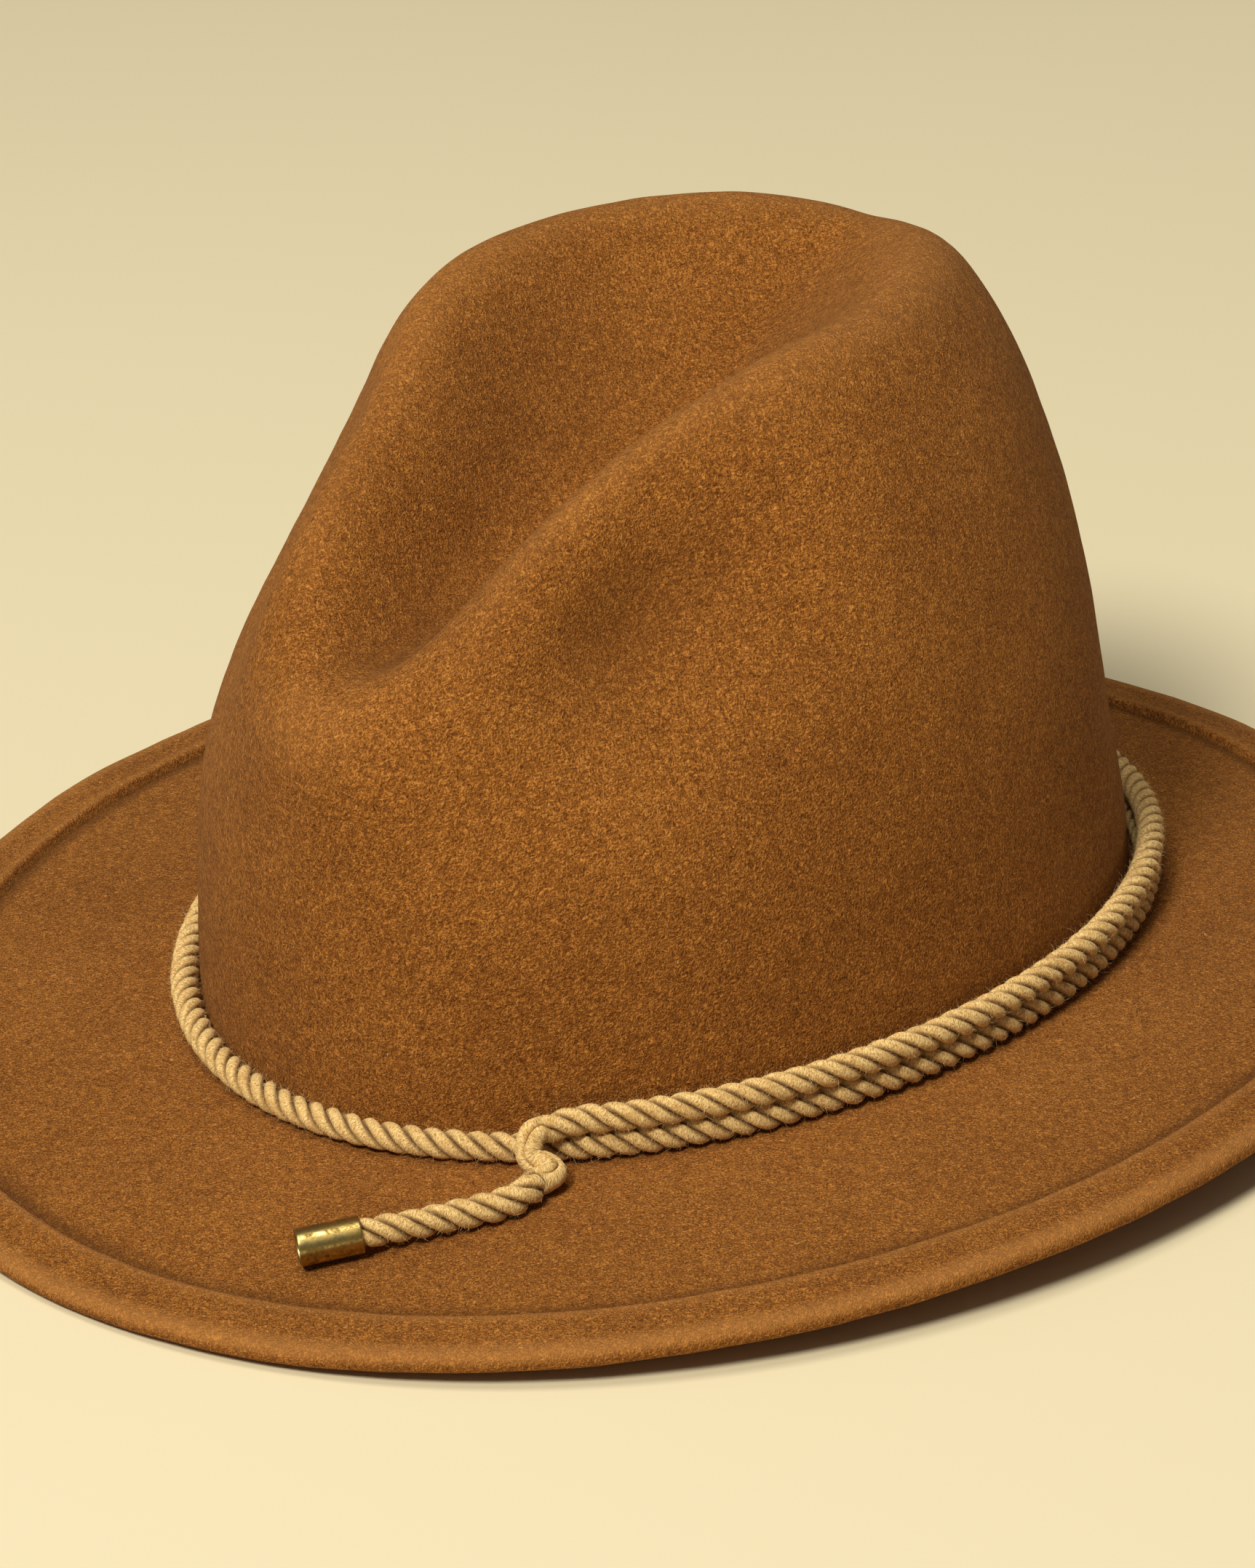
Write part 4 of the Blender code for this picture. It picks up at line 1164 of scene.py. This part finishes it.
def make_bow(look):
    """A flat leather bow at the back: two pinched loops, a waist wrap and short ends."""
    walls, outward = wall_rings([BOW_HEIGHT], np.array([math.pi]))
    centre, outward = walls[0, 0], outward[0]
    inward = SWEATBAND_SETBACK + SWEATBAND_THICKNESS + CLEARANCE
    bend_radius = CROWN_HALF_WIDTH**2 / CROWN_HALF_LENGTH - inward - FELT_THICKNESS
    steps = 61
    across = np.linspace(-BOW_HALF_LENGTH, BOW_HALF_LENGTH, steps)
    share = np.abs(across) / BOW_HALF_LENGTH
    height = 1.25 + 1.45 * np.sin(np.clip(share, 0, 1) * math.pi * 0.82) ** 1.2
    height = height * np.sqrt(np.clip(1 - np.clip((share - 0.86) / 0.14, 0, 1) ** 2, 0.02, 1))
    puff = 0.25 + 0.45 * np.sin(np.clip(share, 0, 1) * math.pi) ** 0.8
    sides = 20
    turn = np.linspace(0.0, 2 * math.pi, sides, endpoint=False)
    up = height[:, None] * np.sign(np.sin(turn)) * np.abs(np.sin(turn)) ** 0.7
    deep = puff[:, None] * np.sign(np.cos(turn)) * np.abs(np.cos(turn)) ** 0.7
    sag = across**2 / (2 * bend_radius)
    x = centre[0] + np.broadcast_to(across[:, None], up.shape)
    y = centre[1] - outward[1] * (inward + 0.75 - deep) - sag[:, None]
    z = centre[2] + up
    points = np.stack([x, y, z], axis=-1).reshape(-1, 3)
    faces = grid_faces(steps, sides).tolist()
    faces += [tuple(range(sides)), tuple(range(steps * sides - 1, (steps - 1) * sides - 1, -1))]
    first = len(points)
    wrap_steps = 24
    ring = np.linspace(0.0, 2 * math.pi, wrap_steps, endpoint=False)
    tube = np.linspace(0.0, 2 * math.pi, 12, endpoint=False)
    wrap_up = (1.55 + 0.28 * np.cos(tube)[None, :]) * np.sin(ring)[:, None]
    wrap_deep = (0.62 + 0.28 * np.cos(tube)[None, :]) * np.cos(ring)[:, None]
    wrap_x = np.broadcast_to(1.3 * np.sin(tube)[None, :], wrap_up.shape)
    wrap = np.stack([
        centre[0] + wrap_x, centre[1] - outward[1] * (inward + 0.75 - wrap_deep), centre[2] + wrap_up
    ], axis=-1).reshape(-1, 3)
    faces += grid_faces(wrap_steps, 12, first, wrap_rows=True).tolist()
    points = np.concatenate([points, wrap])
    obj = mesh_object("sweatband_leather_bow", points, faces, look, "hat")
    flip_if_inside_out(obj)
    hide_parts("sweatband_bow")


# --- the whole scene ---------------------------------------------------------------
make_camera()
tail_rope, tail_fuzz, tail_line, rope_path = make_rope()
ferrule = make_ferrule(rope_path)
tail_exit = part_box("tail")
make_felt()
make_sweatband()
make_stage()
